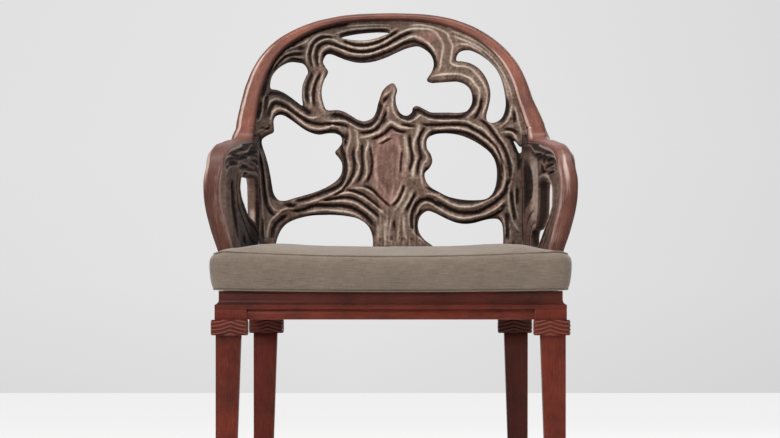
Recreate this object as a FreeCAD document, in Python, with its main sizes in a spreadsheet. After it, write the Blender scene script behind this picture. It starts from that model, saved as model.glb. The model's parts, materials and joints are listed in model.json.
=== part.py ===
# An armchair with an openwork carved back inside a lacquered rail.
# Origin: on the floor, under the middle of the chair. X to the right seen from the front, Y to the
# back, Z up.
# All lengths are in millimetres.
import FreeCAD, Part
import Sketcher
import PartDesign
import math
import os
from FreeCAD import Vector, Placement, Rotation

os.makedirs("parts", exist_ok=True)
doc = FreeCAD.newDocument("armchair")

# Driving sizes, one named value each.
SIZES = {
    # seat frame
    "seat_height": 398.0,
    "front_half": 289.5,
    "rear_half": 243.3,
    "frame_depth": 477.7,
    "front_reach": 283.5,
    "frame_rail_height": 30.0,
    "frame_rail_width": 46.0,
    "ledge_height": 7.0,
    "cove_radius": 9.0,
    "cove_set_back": 6.0,
    "under_rail_height": 17.2,
    "under_rail_width": 24.0,
    "under_set_back": 3.0,
    "bead_set_back": 2.0,
    "bead_groove": 3.0,
    "bead_radius": 13.0,
    # legs
    "leg_block_size": 53.5,
    "leg_block_height": 17.5,
    "collar_size": 60.0,
    "collar_height": 25.5,
    "collar_overhang": 6.0,
    "wave_depth": 2.2,
    "wave_line": 2.2,
    "wave_rise": 3.2,
    "shaft_set_back": 1.7,
    "shaft_top_size": 41.3,
    "shaft_foot_size": 30.5,
    "glide_radius": 10.0,
    "glide_height": 4.0,
    "glide_edge": 1.5,
    # seat board, corner blocks and their screws
    "board_thickness": 12.0,
    "board_drop": 2.0,
    "corner_block_height": 15.0,
    "corner_block_leg": 62.0,
    "screw_radius": 2.0,
    "screw_head_radius": 4.5,
    "screw_head_height": 3.0,
    "screw_reach": 26.0,
    "screw_bite": 20.0,
    # carved back and bow
    "back_height": 498.0,
    "back_foot_reach": 162.2,
    "back_rake": 0.19,
    "back_sag": 20.0,
    "back_half": 233.2,
    "back_thickness": 18.0,
    "step_width": 8.0,
    "step_depth": 4.5,
    "bow_depth": 26.0,
    "bow_top_depth": 28.0,
    "bow_foot_height": 686.5,
    # arms
    "arm_half": 256.0,
    "arm_width": 28.5,
    "arm_front_width": 30.0,
    "arm_foot_width": 25.0,
    "arm_thickness": 12.5,
    "arm_foot_thickness": 22.0,
    "rail_bevel": 4.0,
    "arm_front_reach": 203.8,
    "arm_rear_height": 660.5,
    "arm_front_height": 641.0,
    "arm_bulge_height": 578.0,
    "arm_bulge_overhang": 7.0,
    "arm_foot_inset": 24.0,
    "wing_drop": 10.0,
    # carved arm panels
    "side_thickness": 16.0,
    "side_recess": 5.0,
    "side_rear_half": 241.5,
    "rib_start": 11.0,
    "rib_pitch": 26.0,
    "rib_groove_width": 4.0,
    "rib_groove_depth": 3.0,
    # dowels
    "dowel_radius": 4.0,
    "dowel_length": 44.0,
    "panel_dowel_half": 150.0,
    # cushion
    "cushion_overhang": 6.5,
    "cushion_waist_inset": 39.0,
    "cushion_rear_half": 232.5,
    "cushion_front_reach": 287.8,
    "cushion_rear_reach": 144.2,
    "cushion_ear_reach": 219.8,
    "cushion_wall": 62.0,
    "cushion_crown": 19.0,
    "cushion_draw": 4.0,
    "cushion_corner": 16.0,
    "cover_thickness": 1.6,
    "welt_radius": 2.6,
    "zip_length": 340.0,
    "zip_width": 14.0,
    "zip_thickness": 1.2,
    # fits
    "seat_gap": 0.3,
    "hole_gap": 0.2,
    "foam_gap": 1.2,
    "overrun": 20.0,
}

sheet = doc.addObject("Spreadsheet::Sheet", "Sizes")
for row, (alias, value) in enumerate(SIZES.items(), 1):
    sheet.set("A%d" % row, alias)
    sheet.set("B%d" % row, str(value))
    sheet.setAlias("B%d" % row, alias)
doc.recompute()


def size(alias):
    """A driving size as the sheet holds it."""
    return float(getattr(sheet, alias))


# A coordinate is 0, a sum of named sizes {"name": factor}, or (value, expression).
def amount(spec):
    if isinstance(spec, dict):
        return sum(factor * size(alias) for alias, factor in spec.items())
    if isinstance(spec, tuple):
        return spec[0]
    return float(spec)


def formula(spec):
    if isinstance(spec, dict):
        return " + ".join("(%r) * Sizes.%s" % (factor, alias) for alias, factor in spec.items())
    if isinstance(spec, tuple):
        return spec[1]
    return "0"


def plus(*specs):
    """The sum of several coordinates given as named sizes."""
    total = {}
    for spec in specs:
        for alias, factor in (spec or {}).items():
            total[alias] = total.get(alias, 0) + factor
    return total


def times(factor, spec):
    return {alias: factor * share for alias, share in spec.items()}


def new_body(label):
    body = doc.addObject("PartDesign::Body", label)
    body.Label = label
    return body


def outline(body, plane, loops, lift=None):
    """A sketch of closed loops. A corner is (a, b), or (a, b, radius, side) where an arc of that
    radius leads to the next corner and bulges to its left (1) or right (-1)."""
    sketch = body.newObject("Sketcher::SketchObject", body.Label + "_outline")
    sketch.AttachmentSupport = [([f for f in body.Origin.OriginFeatures if f.Role == plane][0], "")]
    sketch.MapMode = "FlatFace"
    if lift:
        sketch.setExpression("AttachmentOffset.Base.z", formula(lift))
    edge = 0
    for loop in loops:
        first = edge
        ends = []
        for i, corner in enumerate(loop):
            p = Vector(amount(corner[0]), amount(corner[1]), 0)
            following = loop[(i + 1) % len(loop)]
            q = Vector(amount(following[0]), amount(following[1]), 0)
            if len(corner) == 2:
                sketch.addGeometry(Part.LineSegment(p, q), False)
                ends.append((1, 2))
            else:
                radius = amount(corner[2])
                side = corner[3]
                chord = q - p
                across = Vector(-chord.y, chord.x, 0).normalize()
                rest = math.sqrt(max(radius ** 2 - (chord.Length / 2) ** 2, 0))
                centre = (p + q) * 0.5 - across * (side * rest)
                a = math.atan2(p.y - centre.y, p.x - centre.x)
                b = math.atan2(q.y - centre.y, q.x - centre.x)
                circle = Part.Circle(centre, Vector(0, 0, 1), radius)
                if side > 0:
                    sketch.addGeometry(Part.ArcOfCircle(circle, b, a), False)
                    ends.append((2, 1))
                else:
                    sketch.addGeometry(Part.ArcOfCircle(circle, a, b), False)
                    ends.append((1, 2))
            edge += 1
        for i, corner in enumerate(loop):
            before = (i - 1) % len(loop)
            sketch.addConstraint(Sketcher.Constraint(
                "Coincident", first + before, ends[before][1], first + i, ends[i][0]))
        for i, corner in enumerate(loop):
            for kind, spec in (("DistanceX", corner[0]), ("DistanceY", corner[1])):
                c = sketch.addConstraint(Sketcher.Constraint(
                    kind, -1, 1, first + i, ends[i][0], amount(spec)))
                sketch.setExpression("Constraints[%d]" % c, formula(spec))
            if len(corner) == 4:
                c = sketch.addConstraint(Sketcher.Constraint("Radius", first + i, amount(corner[2])))
                sketch.setExpression("Constraints[%d]" % c, formula(corner[2]))
    return sketch


def ring(body, plane, a, b, radius, lift=None):
    """A sketch with one circle."""
    sketch = body.newObject("Sketcher::SketchObject", body.Label + "_ring")
    sketch.AttachmentSupport = [([f for f in body.Origin.OriginFeatures if f.Role == plane][0], "")]
    sketch.MapMode = "FlatFace"
    if lift:
        sketch.setExpression("AttachmentOffset.Base.z", formula(lift))
    sketch.addGeometry(Part.Circle(Vector(amount(a), amount(b), 0), Vector(0, 0, 1), amount(radius)), False)
    for kind, spec in (("DistanceX", a), ("DistanceY", b)):
        c = sketch.addConstraint(Sketcher.Constraint(kind, -1, 1, 0, 3, amount(spec)))
        sketch.setExpression("Constraints[%d]" % c, formula(spec))
    c = sketch.addConstraint(Sketcher.Constraint("Radius", 0, amount(radius)))
    sketch.setExpression("Constraints[%d]" % c, formula(radius))
    return sketch


def pad(body, sketch, length, reverse=False, middle=False):
    feature = body.newObject("PartDesign::Pad", body.Label + "_pad")
    feature.Profile = sketch
    feature.setExpression("Length", formula(length))
    feature.Reversed = reverse
    feature.Midplane = middle
    return feature


def pocket(body, sketch, length=None, reverse=False, middle=False):
    feature = body.newObject("PartDesign::Pocket", body.Label + "_pocket")
    feature.Profile = sketch
    if length is None:
        feature.Type = 1
    else:
        feature.setExpression("Length", formula(length))
    feature.Reversed = reverse
    feature.Midplane = middle
    return feature


def place(thing, x=0, y=0, z=0, turn=0.0):
    """Puts a body at named sizes, turned about Z by an angle in degrees."""
    thing.Placement = Placement(Vector(amount(x), amount(y), amount(z)), Rotation(Vector(0, 0, 1), turn))
    for axis, spec in (("x", x), ("y", y), ("z", z)):
        if spec:
            thing.setExpression("Placement.Base." + axis, formula(spec))


# Plan of the seat frame.
taper = size("front_half") - size("rear_half")
side_length = math.hypot(taper, size("frame_depth"))
side_lean = math.degrees(math.atan2(taper, size("frame_depth")))
TAPER = "(Sizes.front_half - Sizes.rear_half)"
SIDE_LENGTH = "sqrt(%s^2 + Sizes.frame_depth^2)" % TAPER
SIDE = (side_length, SIDE_LENGTH)
HALF_SIDE = (side_length / 2, "(%s) / 2" % SIDE_LENGTH)


def mitre(width, factor):
    """How far a corner's mitre runs in over one frame width; factor -1 at the front, 1 at the rear."""
    run = amount(width) * size("frame_depth") / (side_length + factor * taper)
    text = "(%s) * Sizes.frame_depth / (%s + (%d) * %s)" % (formula(width), SIDE_LENGTH, factor, TAPER)
    return run, text


def trim_end(body, width, outer, run, sign):
    """Cuts a bar's end along the line from outer, at its face, to outer less run, at its width."""
    margin = {"overrun": 1}
    share = size("overrun") / amount(width)
    face = "(%s)" % formula(outer)
    start = (amount(outer) + sign * run[0] * share,
             "%s + (%d) * (%s) * Sizes.overrun / (%s)" % (face, sign, run[1], formula(width)))
    past = (amount(outer) - sign * run[0] * (1 + share),
            "%s - (%d) * (%s) * (1 + Sizes.overrun / (%s))" % (face, sign, run[1], formula(width)))
    far = (amount(outer) + sign * (abs(run[0]) + size("overrun")),
           "%s + (%d) * (abs(%s) + Sizes.overrun)" % (face, sign, run[1]))
    loop = [(start, {"overrun": -1}), (past, plus(width, margin)), (far, plus(width, margin)),
            (far, {"overrun": -1})]
    if sign > 0:
        loop.reverse()
    return pocket(body, outline(body, "XY_Plane", [loop]), {"seat_height": 1}, middle=True)


def edge_half(distance, inset):
    """Half the seat frame's width a distance behind its front, less an inset square to its side."""
    value = (size("front_half") - taper * amount(distance) / size("frame_depth")
             - amount(inset) * side_length / size("frame_depth"))
    text = "Sizes.front_half - %s * (%s) / Sizes.frame_depth - (%s) * %s / Sizes.frame_depth" % (
        TAPER, formula(distance), formula(inset), SIDE_LENGTH)
    return value, text


def frame_rail(label, half, start_run, end_run, x, y, turn, holes=()):
    """One mitred rail of the seat frame: ledge, hollow, fascia. Local X runs along it, Y goes in."""
    body = new_body(label)
    w = {"frame_rail_width": 1}
    h = {"frame_rail_height": 1}
    cove_top = {"ledge_height": 1, "cove_radius": 1}
    loop = [(0, 0), (w, 0), (w, h), ({"cove_set_back": 1}, h), ({"cove_set_back": 1}, cove_top, {"cove_radius": 1}, 1),
            (0, {"ledge_height": 1})]
    length = times(2, half) if isinstance(half, dict) else SIDE
    pad(body, outline(body, "YZ_Plane", [loop]), length, middle=True)
    trim_end(body, w, half, end_run, 1)
    negative = times(-1, half) if isinstance(half, dict) else (-half[0], "-(%s)" % half[1])
    trim_end(body, w, negative, start_run, -1)
    for plane, a, b, radius, depth, lift in holes:
        pocket(body, ring(body, plane, a, b, radius, lift), times(2, depth), middle=True)
    place(body, x, y, {"seat_height": 1, "frame_rail_height": -1}, turn)
    return body


def under_rail(label, half, start_run, end_run, x, y, turn):
    """A bar with a rounded face and a groove over it, between two leg blocks."""
    body = new_body(label)
    w = {"under_rail_width": 1}
    h = {"under_rail_height": 1}
    face = {"under_set_back": 1, "bead_set_back": 1}
    groove = {"under_rail_height": 1, "bead_groove": -1}
    loop = [({"under_set_back": 1, "bead_set_back": 0.5}, 0), (w, 0), (w, h), (face, h),
            (face, groove), ({"under_set_back": 1, "bead_set_back": 0.5}, groove, {"bead_radius": 1}, -1)]
    length = times(2, half) if isinstance(half, dict) else (2 * half[0], "2 * (%s)" % half[1])
    pad(body, outline(body, "YZ_Plane", [loop]), length, middle=True)
    if start_run:
        trim_end(body, w, half, end_run, 1)
        negative = (-half[0], "-(%s)" % half[1])
        trim_end(body, w, negative, start_run, -1)
    place(body, x, y, {"seat_height": 1, "frame_rail_height": -1, "under_rail_height": -1}, turn)
    return body


def collar_waves(reach):
    """Three wavy lines across one face of a collar, each a band that rises to a hump in the middle."""
    loops = []
    for share in (0.2, 0.47, 0.74):
        low = {"collar_height": share}
        top = plus(low, {"wave_line": 1})
        crest = {"wave_rise": 1}
        dip = {"wave_rise": -0.35}
        spots = ((-1.0, {}), (-0.62, dip), (-0.3, {}), (0.0, crest), (0.3, {}), (0.62, dip), (1.0, {}))
        lower = [(times(s, reach), plus(low, d)) for s, d in spots]
        upper = [(times(s, reach), plus(top, d)) for s, d in reversed(spots)]
        loops.append([(a if a else 0, b) for a, b in lower + upper])
    return loops


def leg(label, sx, sy, half_name):
    """A leg: tapered shaft, waved collar, block. Local origin under the middle of the collar."""
    body = new_body(label)
    half = {"collar_size": 0.5}
    outer = plus(half, {"collar_overhang": -1})
    shaft_outer = plus(outer, {"shaft_set_back": -1})
    top = {"seat_height": 1, "frame_rail_height": -1}
    block_foot = plus(top, {"leg_block_height": -1})
    collar_foot = plus(block_foot, {"collar_height": -1})

    def square(out, width):
        a = times(sx, out)
        b = times(sx, plus(out, times(-1, width)))
        c = times(sy, out)
        d = times(sy, plus(out, times(-1, width)))
        return [(a, c), (b, c), (b, d), (a, d)]

    foot = outline(body, "XY_Plane", [square(shaft_outer, {"shaft_foot_size": 1})], {"glide_height": 1})
    head = outline(body, "XY_Plane", [square(shaft_outer, {"shaft_top_size": 1})], collar_foot)
    shaft = body.newObject("PartDesign::AdditiveLoft", label + "_shaft")
    shaft.Profile = foot
    shaft.Sections = [head]
    shaft.Ruled = True
    collar = [(times(a, half), times(b, half)) for a, b in ((-1, -1), (1, -1), (1, 1), (-1, 1))]
    pad(body, outline(body, "XY_Plane", [collar], collar_foot), {"collar_height": 1})
    block = square(outer, {"leg_block_size": 1})
    pad(body, outline(body, "XY_Plane", [block], block_foot), {"leg_block_height": 1})
    waves = [[(a, plus(b, collar_foot)) for a, b in loop] for loop in collar_waves(half)]
    cut = pocket(body, outline(body, "XZ_Plane", waves, half), {"wave_depth": 1})
    around = body.newObject("PartDesign::PolarPattern", label + "_around")
    around.Originals = [cut]
    around.Axis = ([f for f in body.Origin.OriginFeatures if f.Role == "Z_Axis"][0], [""])
    around.Angle = 360
    around.Occurrences = 4
    body.Tip = around
    x = times(sx, {half_name: 1, "collar_size": -0.5, "collar_overhang": 1})
    if sy < 0:
        y = {"front_reach": -1, "collar_size": 0.5, "collar_overhang": -1}
    else:
        y = {"frame_depth": 1, "front_reach": -1, "collar_size": -0.5, "collar_overhang": 1}
    place(body, x, y)
    return body


def glide(label, sx, sy, half_name):
    """A domed glide under a foot."""
    body = new_body(label)
    profile = [(0, 0), ({"glide_radius": 1, "glide_edge": -1}, 0), ({"glide_radius": 1}, {"glide_edge": 1}),
               ({"glide_radius": 1}, {"glide_height": 1}), (0, {"glide_height": 1})]
    sketch = outline(body, "XZ_Plane", [profile])
    turned = body.newObject("PartDesign::Revolution", label + "_turned")
    turned.Profile = sketch
    turned.ReferenceAxis = (sketch, ["V_Axis"])
    turned.Angle = 360
    inset = {"shaft_foot_size": -0.5, "shaft_set_back": -1}
    x = times(sx, plus({half_name: 1}, inset))
    if sy < 0:
        y = plus({"front_reach": -1}, times(-1, inset))
    else:
        y = plus({"frame_depth": 1, "front_reach": -1}, inset)
    place(body, x, y)
    return body


# Seat frame.
middle_y = {"frame_depth": 0.5, "front_reach": -1}
rear_y = {"frame_depth": 1, "front_reach": -1}
RAIL = {"frame_rail_width": 1}
front_mitre = mitre(RAIL, -1)
rear_mitre = mitre(RAIL, 1)


# Corner screws run along Y, dowels along Z; both are bored in the rails.
screw_height = {"frame_rail_height": 1, "board_drop": -1, "board_thickness": -1, "seat_gap": -1,
                "corner_block_height": -0.5}
screw_x = {"front": {"front_half": 1, "frame_rail_width": -1.15, "corner_block_leg": -0.42},
           "rear": {"rear_half": 1, "frame_rail_width": -0.92, "corner_block_leg": -0.42}}
screw_bore = {"screw_radius": 1, "hole_gap": 1}
dowel_bore = {"dowel_radius": 1, "hole_gap": 1}
dowel_depth = {"dowel_length": 0.5, "seat_gap": 1}


def screw_holes(end):
    return [("XZ_Plane", times(s, screw_x[end]), screw_height, screw_bore,
             {"screw_bite": 1, "seat_gap": 1}, {"frame_rail_width": -1}) for s in (-1, 1)]


back_share = (size("panel_dowel_half") / size("back_half")) ** 2
dowel_in = (amount({"frame_depth": 1, "front_reach": -1, "back_foot_reach": -1, "back_sag": -1})
            + size("back_sag") * back_share,
            "Sizes.frame_depth - Sizes.front_reach - Sizes.back_foot_reach - Sizes.back_sag * "
            "(1 - (Sizes.panel_dowel_half / Sizes.back_half)^2)")
rear_holes = screw_holes("rear") + [
    ("XY_Plane", {"panel_dowel_half": s}, dowel_in, dowel_bore, dowel_depth, {"frame_rail_height": 1})
    for s in (-1, 1)]
side_x = {"front_half": 0.5, "rear_half": 0.5}
post_out = plus({"front_half": 1, "arm_foot_inset": -1}, times(-1, side_x))
post_back = plus({"arm_front_reach": -1}, times(-1, middle_y))
lean_sine = taper / side_length
lean_cosine = size("frame_depth") / side_length
post_along = (amount(post_back) * lean_cosine - amount(post_out) * lean_sine,
              "((%s) * Sizes.frame_depth - (%s) * %s) / %s" % (
                  formula(post_back), formula(post_out), TAPER, SIDE_LENGTH))
post_in = (-amount(post_out) * lean_cosine - amount(post_back) * lean_sine,
           "((%s) * Sizes.frame_depth + (%s) * %s) / %s * (-1)" % (
               formula(post_out), formula(post_back), TAPER, SIDE_LENGTH))


def post_hole(sign):
    along = (sign * post_along[0], "(%d) * (%s)" % (sign, post_along[1]))
    return [("XY_Plane", along, post_in, dowel_bore, dowel_depth, {"frame_rail_height": 1})]


frame_rail("front_frame_rail", {"front_half": 1}, front_mitre, front_mitre, 0, {"front_reach": -1}, 0.0,
           screw_holes("front"))
frame_rail("rear_frame_rail", {"rear_half": 1}, rear_mitre, rear_mitre, 0, rear_y, 180.0, rear_holes)
frame_rail("right_frame_rail", HALF_SIDE, front_mitre, rear_mitre, side_x, middle_y, 90.0 + side_lean,
           post_hole(1))
frame_rail("left_frame_rail", HALF_SIDE, rear_mitre, front_mitre, times(-1, side_x), middle_y,
           -90.0 - side_lean, post_hole(-1))

between = {"leg_block_size": -1, "seat_gap": -1}
under_rail("front_under_rail", plus({"front_half": 1}, between), None, None, 0, {"front_reach": -1}, 0.0)
under_rail("rear_under_rail", plus({"rear_half": 1}, between), None, None, 0, rear_y, 180.0)
block_run = (size("leg_block_size") + size("seat_gap")) * side_length / size("frame_depth")
under_half = (side_length / 2 - block_run,
              "(%s) / 2 - (Sizes.leg_block_size + Sizes.seat_gap) * (%s) / Sizes.frame_depth" % (
                  SIDE_LENGTH, SIDE_LENGTH))
slant = size("under_rail_width") * taper / size("frame_depth")
SLANT = "Sizes.under_rail_width * %s / Sizes.frame_depth" % TAPER
under_rail("right_under_rail", under_half, (slant, SLANT), (-slant, "-(%s)" % SLANT), side_x, middle_y,
           90.0 + side_lean)
under_rail("left_under_rail", under_half, (-slant, "-(%s)" % SLANT), (slant, SLANT), times(-1, side_x),
           middle_y, -90.0 - side_lean)

for end, sy, half_name in (("front", -1, "front_half"), ("rear", 1, "rear_half")):
    for side, sx in (("left", -1), ("right", 1)):
        leg("%s_%s_leg" % (end, side), sx, sy, half_name)
        glide("%s_%s_glide" % (end, side), sx, sy, half_name)


# Seat board, dropped into the frame.
def seat_board():
    body = new_body("seat_board")
    inset = {"frame_rail_width": 1, "seat_gap": 1}
    far = plus({"frame_depth": 1}, times(-1, inset))
    front = edge_half(inset, inset)
    rear = edge_half(far, inset)
    y0 = plus({"front_reach": -1}, inset)
    y1 = plus({"front_reach": -1}, far)
    loop = [((-front[0], "-(%s)" % front[1]), y0), (front, y0), (rear, y1), ((-rear[0], "-(%s)" % rear[1]), y1)]
    pad(body, outline(body, "XY_Plane", [loop]), {"board_thickness": 1})
    place(body, 0, 0, {"seat_height": 1, "board_drop": -1, "board_thickness": -1})
    return body


def corner_block(label, end, sx, sy):
    """A three cornered block in a corner of the frame, bored for its screw."""
    body = new_body(label)
    inset = {"frame_rail_width": 1, "seat_gap": 1}
    near = inset if sy < 0 else plus({"frame_depth": 1}, times(-1, inset))
    corner = edge_half(near, inset)
    arm_leg = {"corner_block_leg": 1}
    y0 = plus({"front_reach": -1}, near)
    y1 = plus(y0, times(-sy, arm_leg))
    far = edge_half(plus(near, times(-sy, arm_leg)), inset)

    def side_of(spec):
        return sx * spec[0], "(%d) * (%s)" % (sx, spec[1])

    inner = side_of((corner[0] - size("corner_block_leg"), "%s - Sizes.corner_block_leg" % corner[1]))
    loop = [(side_of(corner), y0), (inner, y0), (side_of(far), y1)]
    pad(body, outline(body, "XY_Plane", [loop]), {"corner_block_height": 1})
    x = times(sx, screw_x[end])
    middle = {"corner_block_height": 0.5}
    pocket(body, ring(body, "XZ_Plane", x, middle, screw_bore), {"seat_height": 2}, middle=True)
    seat = plus(y0, times(-sy, {"screw_reach": 1, "overrun": 1}))
    pocket(body, ring(body, "XZ_Plane", x, middle, {"screw_head_radius": 1, "hole_gap": 1}, times(-1, seat)),
           {"overrun": 2}, middle=True)
    place(body, 0, 0, {"seat_height": 1, "board_drop": -1, "board_thickness": -1, "seat_gap": -1,
                       "corner_block_height": -1})
    return body


def corner_screw(label, end, sx, sy):
    body = new_body(label)
    head = {"screw_reach": 1, "seat_gap": 1}
    profile = [(0, {"screw_bite": -1}), ({"screw_radius": 1}, {"screw_bite": -1}), ({"screw_radius": 1}, head),
               ({"screw_head_radius": 1}, head),
               ({"screw_head_radius": 1}, plus(head, {"screw_head_height": 1})),
               (0, plus(head, {"screw_head_height": 1}))]
    sketch = outline(body, "XY_Plane", [profile])
    turned = body.newObject("PartDesign::Revolution", label + "_turned")
    turned.Profile = sketch
    turned.ReferenceAxis = (sketch, ["V_Axis"])
    turned.Angle = 360
    y = {"front_reach": -1, "frame_rail_width": 1}
    if sy > 0:
        y = {"frame_depth": 1, "front_reach": -1, "frame_rail_width": -1}
    place(body, times(sx, screw_x[end]), y, plus({"seat_height": 1, "frame_rail_height": -1}, screw_height),
          180.0 if sy > 0 else 0.0)
    return body


seat_board()
for end, sy in (("front", -1), ("rear", 1)):
    for side, sx in (("left", -1), ("right", 1)):
        corner_block("%s_%s_corner_block" % (end, side), end, sx, sy)
        corner_screw("%s_%s_corner_screw" % (end, side), end, sx, sy)
doc.recompute()


def finished(shape):
    """One clean solid, or the largest one where a cut leaves crumbs."""
    solids = sorted(shape.Solids, key=lambda s: s.Volume)
    return solids[-1].removeSplitter()


def show(label, shape):
    """A piece whose form no sketch feature makes; its sizes come from the sheet."""
    piece = doc.addObject("Part::Feature", label)
    piece.Label = label
    piece.Shape = shape
    return piece


# The rails of the back and arms: eight sided bars lofted along hand chosen stations.
def surface_reach(x, z):
    """How far back the middle of the carved back lies at a width and height."""
    bend = 1 - (x / size("back_half")) ** 2
    return (size("back_foot_reach") + size("back_sag") * bend
            + size("back_rake") * (z - size("seat_height")))


def bar_section(centre, across, through, width, thickness, grow):
    a = width / 2 + grow
    b = thickness / 2 + grow
    c = size("rail_bevel")
    corners = [(a, b - c), (a - c, b), (c - a, b), (-a, b - c), (-a, c - b), (c - a, -b), (a - c, -b), (a, c - b)]
    points = [centre + across * u + through * v for u, v in corners]
    return Part.makePolygon(points + points[:1])


# Stations of the bow: place across, place up and width, in shares of the back's height.
BOW_SHARES = (
    (-0.502, 0.679, 0.060), (-0.483, 0.747, 0.059), (-0.458, 0.805, 0.054), (-0.424, 0.855, 0.048),
    (-0.379, 0.897, 0.042), (-0.315, 0.934, 0.036), (-0.242, 0.961, 0.031), (-0.144, 0.980, 0.028),
    (-0.010, 0.987, 0.026), (0.122, 0.982, 0.028), (0.215, 0.964, 0.032), (0.290, 0.934, 0.037),
    (0.352, 0.894, 0.042), (0.398, 0.851, 0.046), (0.435, 0.800, 0.050), (0.462, 0.741, 0.053),
    (0.484, 0.672, 0.055),
)


def bow(grow):
    height = size("back_height")
    foot = size("bow_foot_height")
    depth = size("bow_depth")
    arm = size("arm_half")
    stations = [(-arm, foot, size("arm_width"), depth)]
    for x, z, w in BOW_SHARES:
        rise = max(0.0, (z * height + size("seat_height") - foot) / height)
        stations.append((x * height, size("seat_height") + z * height, w * height,
                         depth + (size("bow_top_depth") - depth) * rise * 2))
    stations.append((arm, foot, size("arm_width"), depth))
    normal = Vector(0, -1, size("back_rake")).normalize()
    centres = [Vector(x, surface_reach(x, z), z) for x, z, w, d in stations]
    sections = []
    for i, (x, z, w, d) in enumerate(stations):
        ahead = centres[min(i + 1, len(centres) - 1)] - centres[max(i - 1, 0)]
        if i in (0, len(stations) - 1):
            ahead = Vector(0, size("back_rake"), 1) * (1 if i == 0 else -1)
        ahead = ahead.normalize()
        across = normal.cross(ahead).normalize()
        through = ahead.cross(across)
        sections.append(bar_section(centres[i], across, through, w, d, grow))
    return Part.makeLoft(sections, True, False)


# Stations of an arm in shares. Reach: 0 at the bow, 1 at the front of the post. Out: 0 at the
# bow's foot, 1 at the widest point. Width and thickness: 0 at the rear, 1 at the foot.
def arm_stations():
    rear = Vector(size("arm_half"), surface_reach(size("arm_half"), size("bow_foot_height")),
                  size("bow_foot_height"))
    front = -size("arm_front_reach")
    run = rear.y - front
    high = size("arm_rear_height")
    fore = size("arm_front_height")
    bulge = size("arm_bulge_height")
    seat = size("seat_height") + size("seat_gap")
    out = size("front_half") + size("arm_bulge_overhang") - rear.x
    width = size("arm_width")
    wide = size("arm_front_width")
    thin = size("arm_thickness")
    foot_out = size("front_half") - size("arm_foot_inset") - rear.x
    fall = fore - bulge
    drop = bulge - seat
    return [
        (rear, width, size("bow_depth")),
        (Vector(rear.x + 0.02 * out, rear.y - 0.022 * run, high + 0.4 * (rear.z - high)), width, 1.6 * thin),
        (Vector(rear.x + 0.06 * out, rear.y - 0.075 * run, high + 0.06 * (rear.z - high)), width, 1.15 * thin),
        (Vector(rear.x + 0.14 * out, rear.y - 0.2 * run, high - 0.1 * (high - fore)), width, thin),
        (Vector(rear.x + 0.26 * out, rear.y - 0.45 * run, high - 0.4 * (high - fore)), width, thin),
        (Vector(rear.x + 0.4 * out, rear.y - 0.7 * run, fore + 0.12 * (high - fore)), width, thin),
        (Vector(rear.x + 0.56 * out, rear.y - 0.85 * run, fore - 0.09 * fall), width, thin),
        (Vector(rear.x + 0.76 * out, rear.y - 0.935 * run, fore - 0.31 * fall), wide, 1.05 * thin),
        (Vector(rear.x + 0.92 * out, rear.y - 0.98 * run, fore - 0.62 * fall), wide, 1.12 * thin),
        (Vector(rear.x + out, front, bulge), wide, 1.2 * thin),
        (Vector(rear.x + 0.95 * out, front, bulge - 0.2 * drop), wide, 1.35 * thin),
        (Vector(rear.x + 0.72 * out, front, bulge - 0.42 * drop), 0.96 * wide, 1.5 * thin),
        (Vector(rear.x + foot_out + 0.22 * out, front, bulge - 0.64 * drop),
         size("arm_foot_width"), 0.88 * size("arm_foot_thickness")),
        (Vector(rear.x + foot_out + 0.05 * out, front, bulge - 0.82 * drop),
         size("arm_foot_width"), size("arm_foot_thickness")),
        (Vector(rear.x + foot_out, front, seat), size("arm_foot_width"), size("arm_foot_thickness")),
    ]


def eased(stations, steps):
    """Stations with more between them, on a smooth curve through the given ones."""
    last = len(stations) - 1
    dense = []
    for i in range(last):
        a, b, c, d = (stations[max(i - 1, 0)], stations[i], stations[i + 1], stations[min(i + 2, last)])
        for k in range(steps):
            t = k / steps
            share = (-0.5 * t + t ** 2 - 0.5 * t ** 3, 1 - 2.5 * t ** 2 + 1.5 * t ** 3,
                     0.5 * t + 2 * t ** 2 - 1.5 * t ** 3, -0.5 * t ** 2 + 0.5 * t ** 3)
            mixed = []
            for parts in zip(a, b, c, d):
                total = parts[0] * share[0]
                for part, weight in zip(parts[1:], share[1:]):
                    total = total + part * weight
                mixed.append(total)
            dense.append(tuple(mixed))
    dense.append(stations[last])
    return dense


def arm(sign, grow):
    stations = eased(arm_stations(), 2)
    centres = [s[0] for s in stations]
    sections = []
    for i, (centre, w, t) in enumerate(stations):
        ahead = centres[min(i + 1, len(centres) - 1)] - centres[max(i - 1, 0)]
        if i == 0:
            ahead = Vector(0, -size("back_rake"), -1)
        if i == len(centres) - 1:
            ahead = Vector(0, 0, -1)
        ahead = ahead.normalize()
        across = Vector(1, 0, 0) - ahead * ahead.x
        across = across.normalize()
        through = ahead.cross(across)
        sections.append(bar_section(centre, across, through, w, t, grow))
    solid = Part.makeLoft(sections, True, False)
    if sign < 0:
        solid = solid.mirror(Vector(0, 0, 0), Vector(1, 0, 0))
    return solid


def dowel_solid(start, along, radius, length):
    return Part.makeCylinder(radius, length, start - along * (length / 2), along)


foot_joint = Vector(size("arm_half"), surface_reach(size("arm_half"), size("bow_foot_height")),
                    size("bow_foot_height"))
up_back = Vector(0, size("back_rake"), 1).normalize()
post_foot = Vector(size("front_half") - size("arm_foot_inset"), -size("arm_front_reach"), size("seat_height"))
panel_foot = Vector(size("panel_dowel_half"), surface_reach(size("panel_dowel_half"), size("seat_height")),
                    size("seat_height"))
hole = size("dowel_radius") + size("hole_gap")
long_hole = size("dowel_length") + 2 * size("seat_gap")


def flipped(v, sign):
    return Vector(v.x * sign, v.y, v.z)


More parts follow.
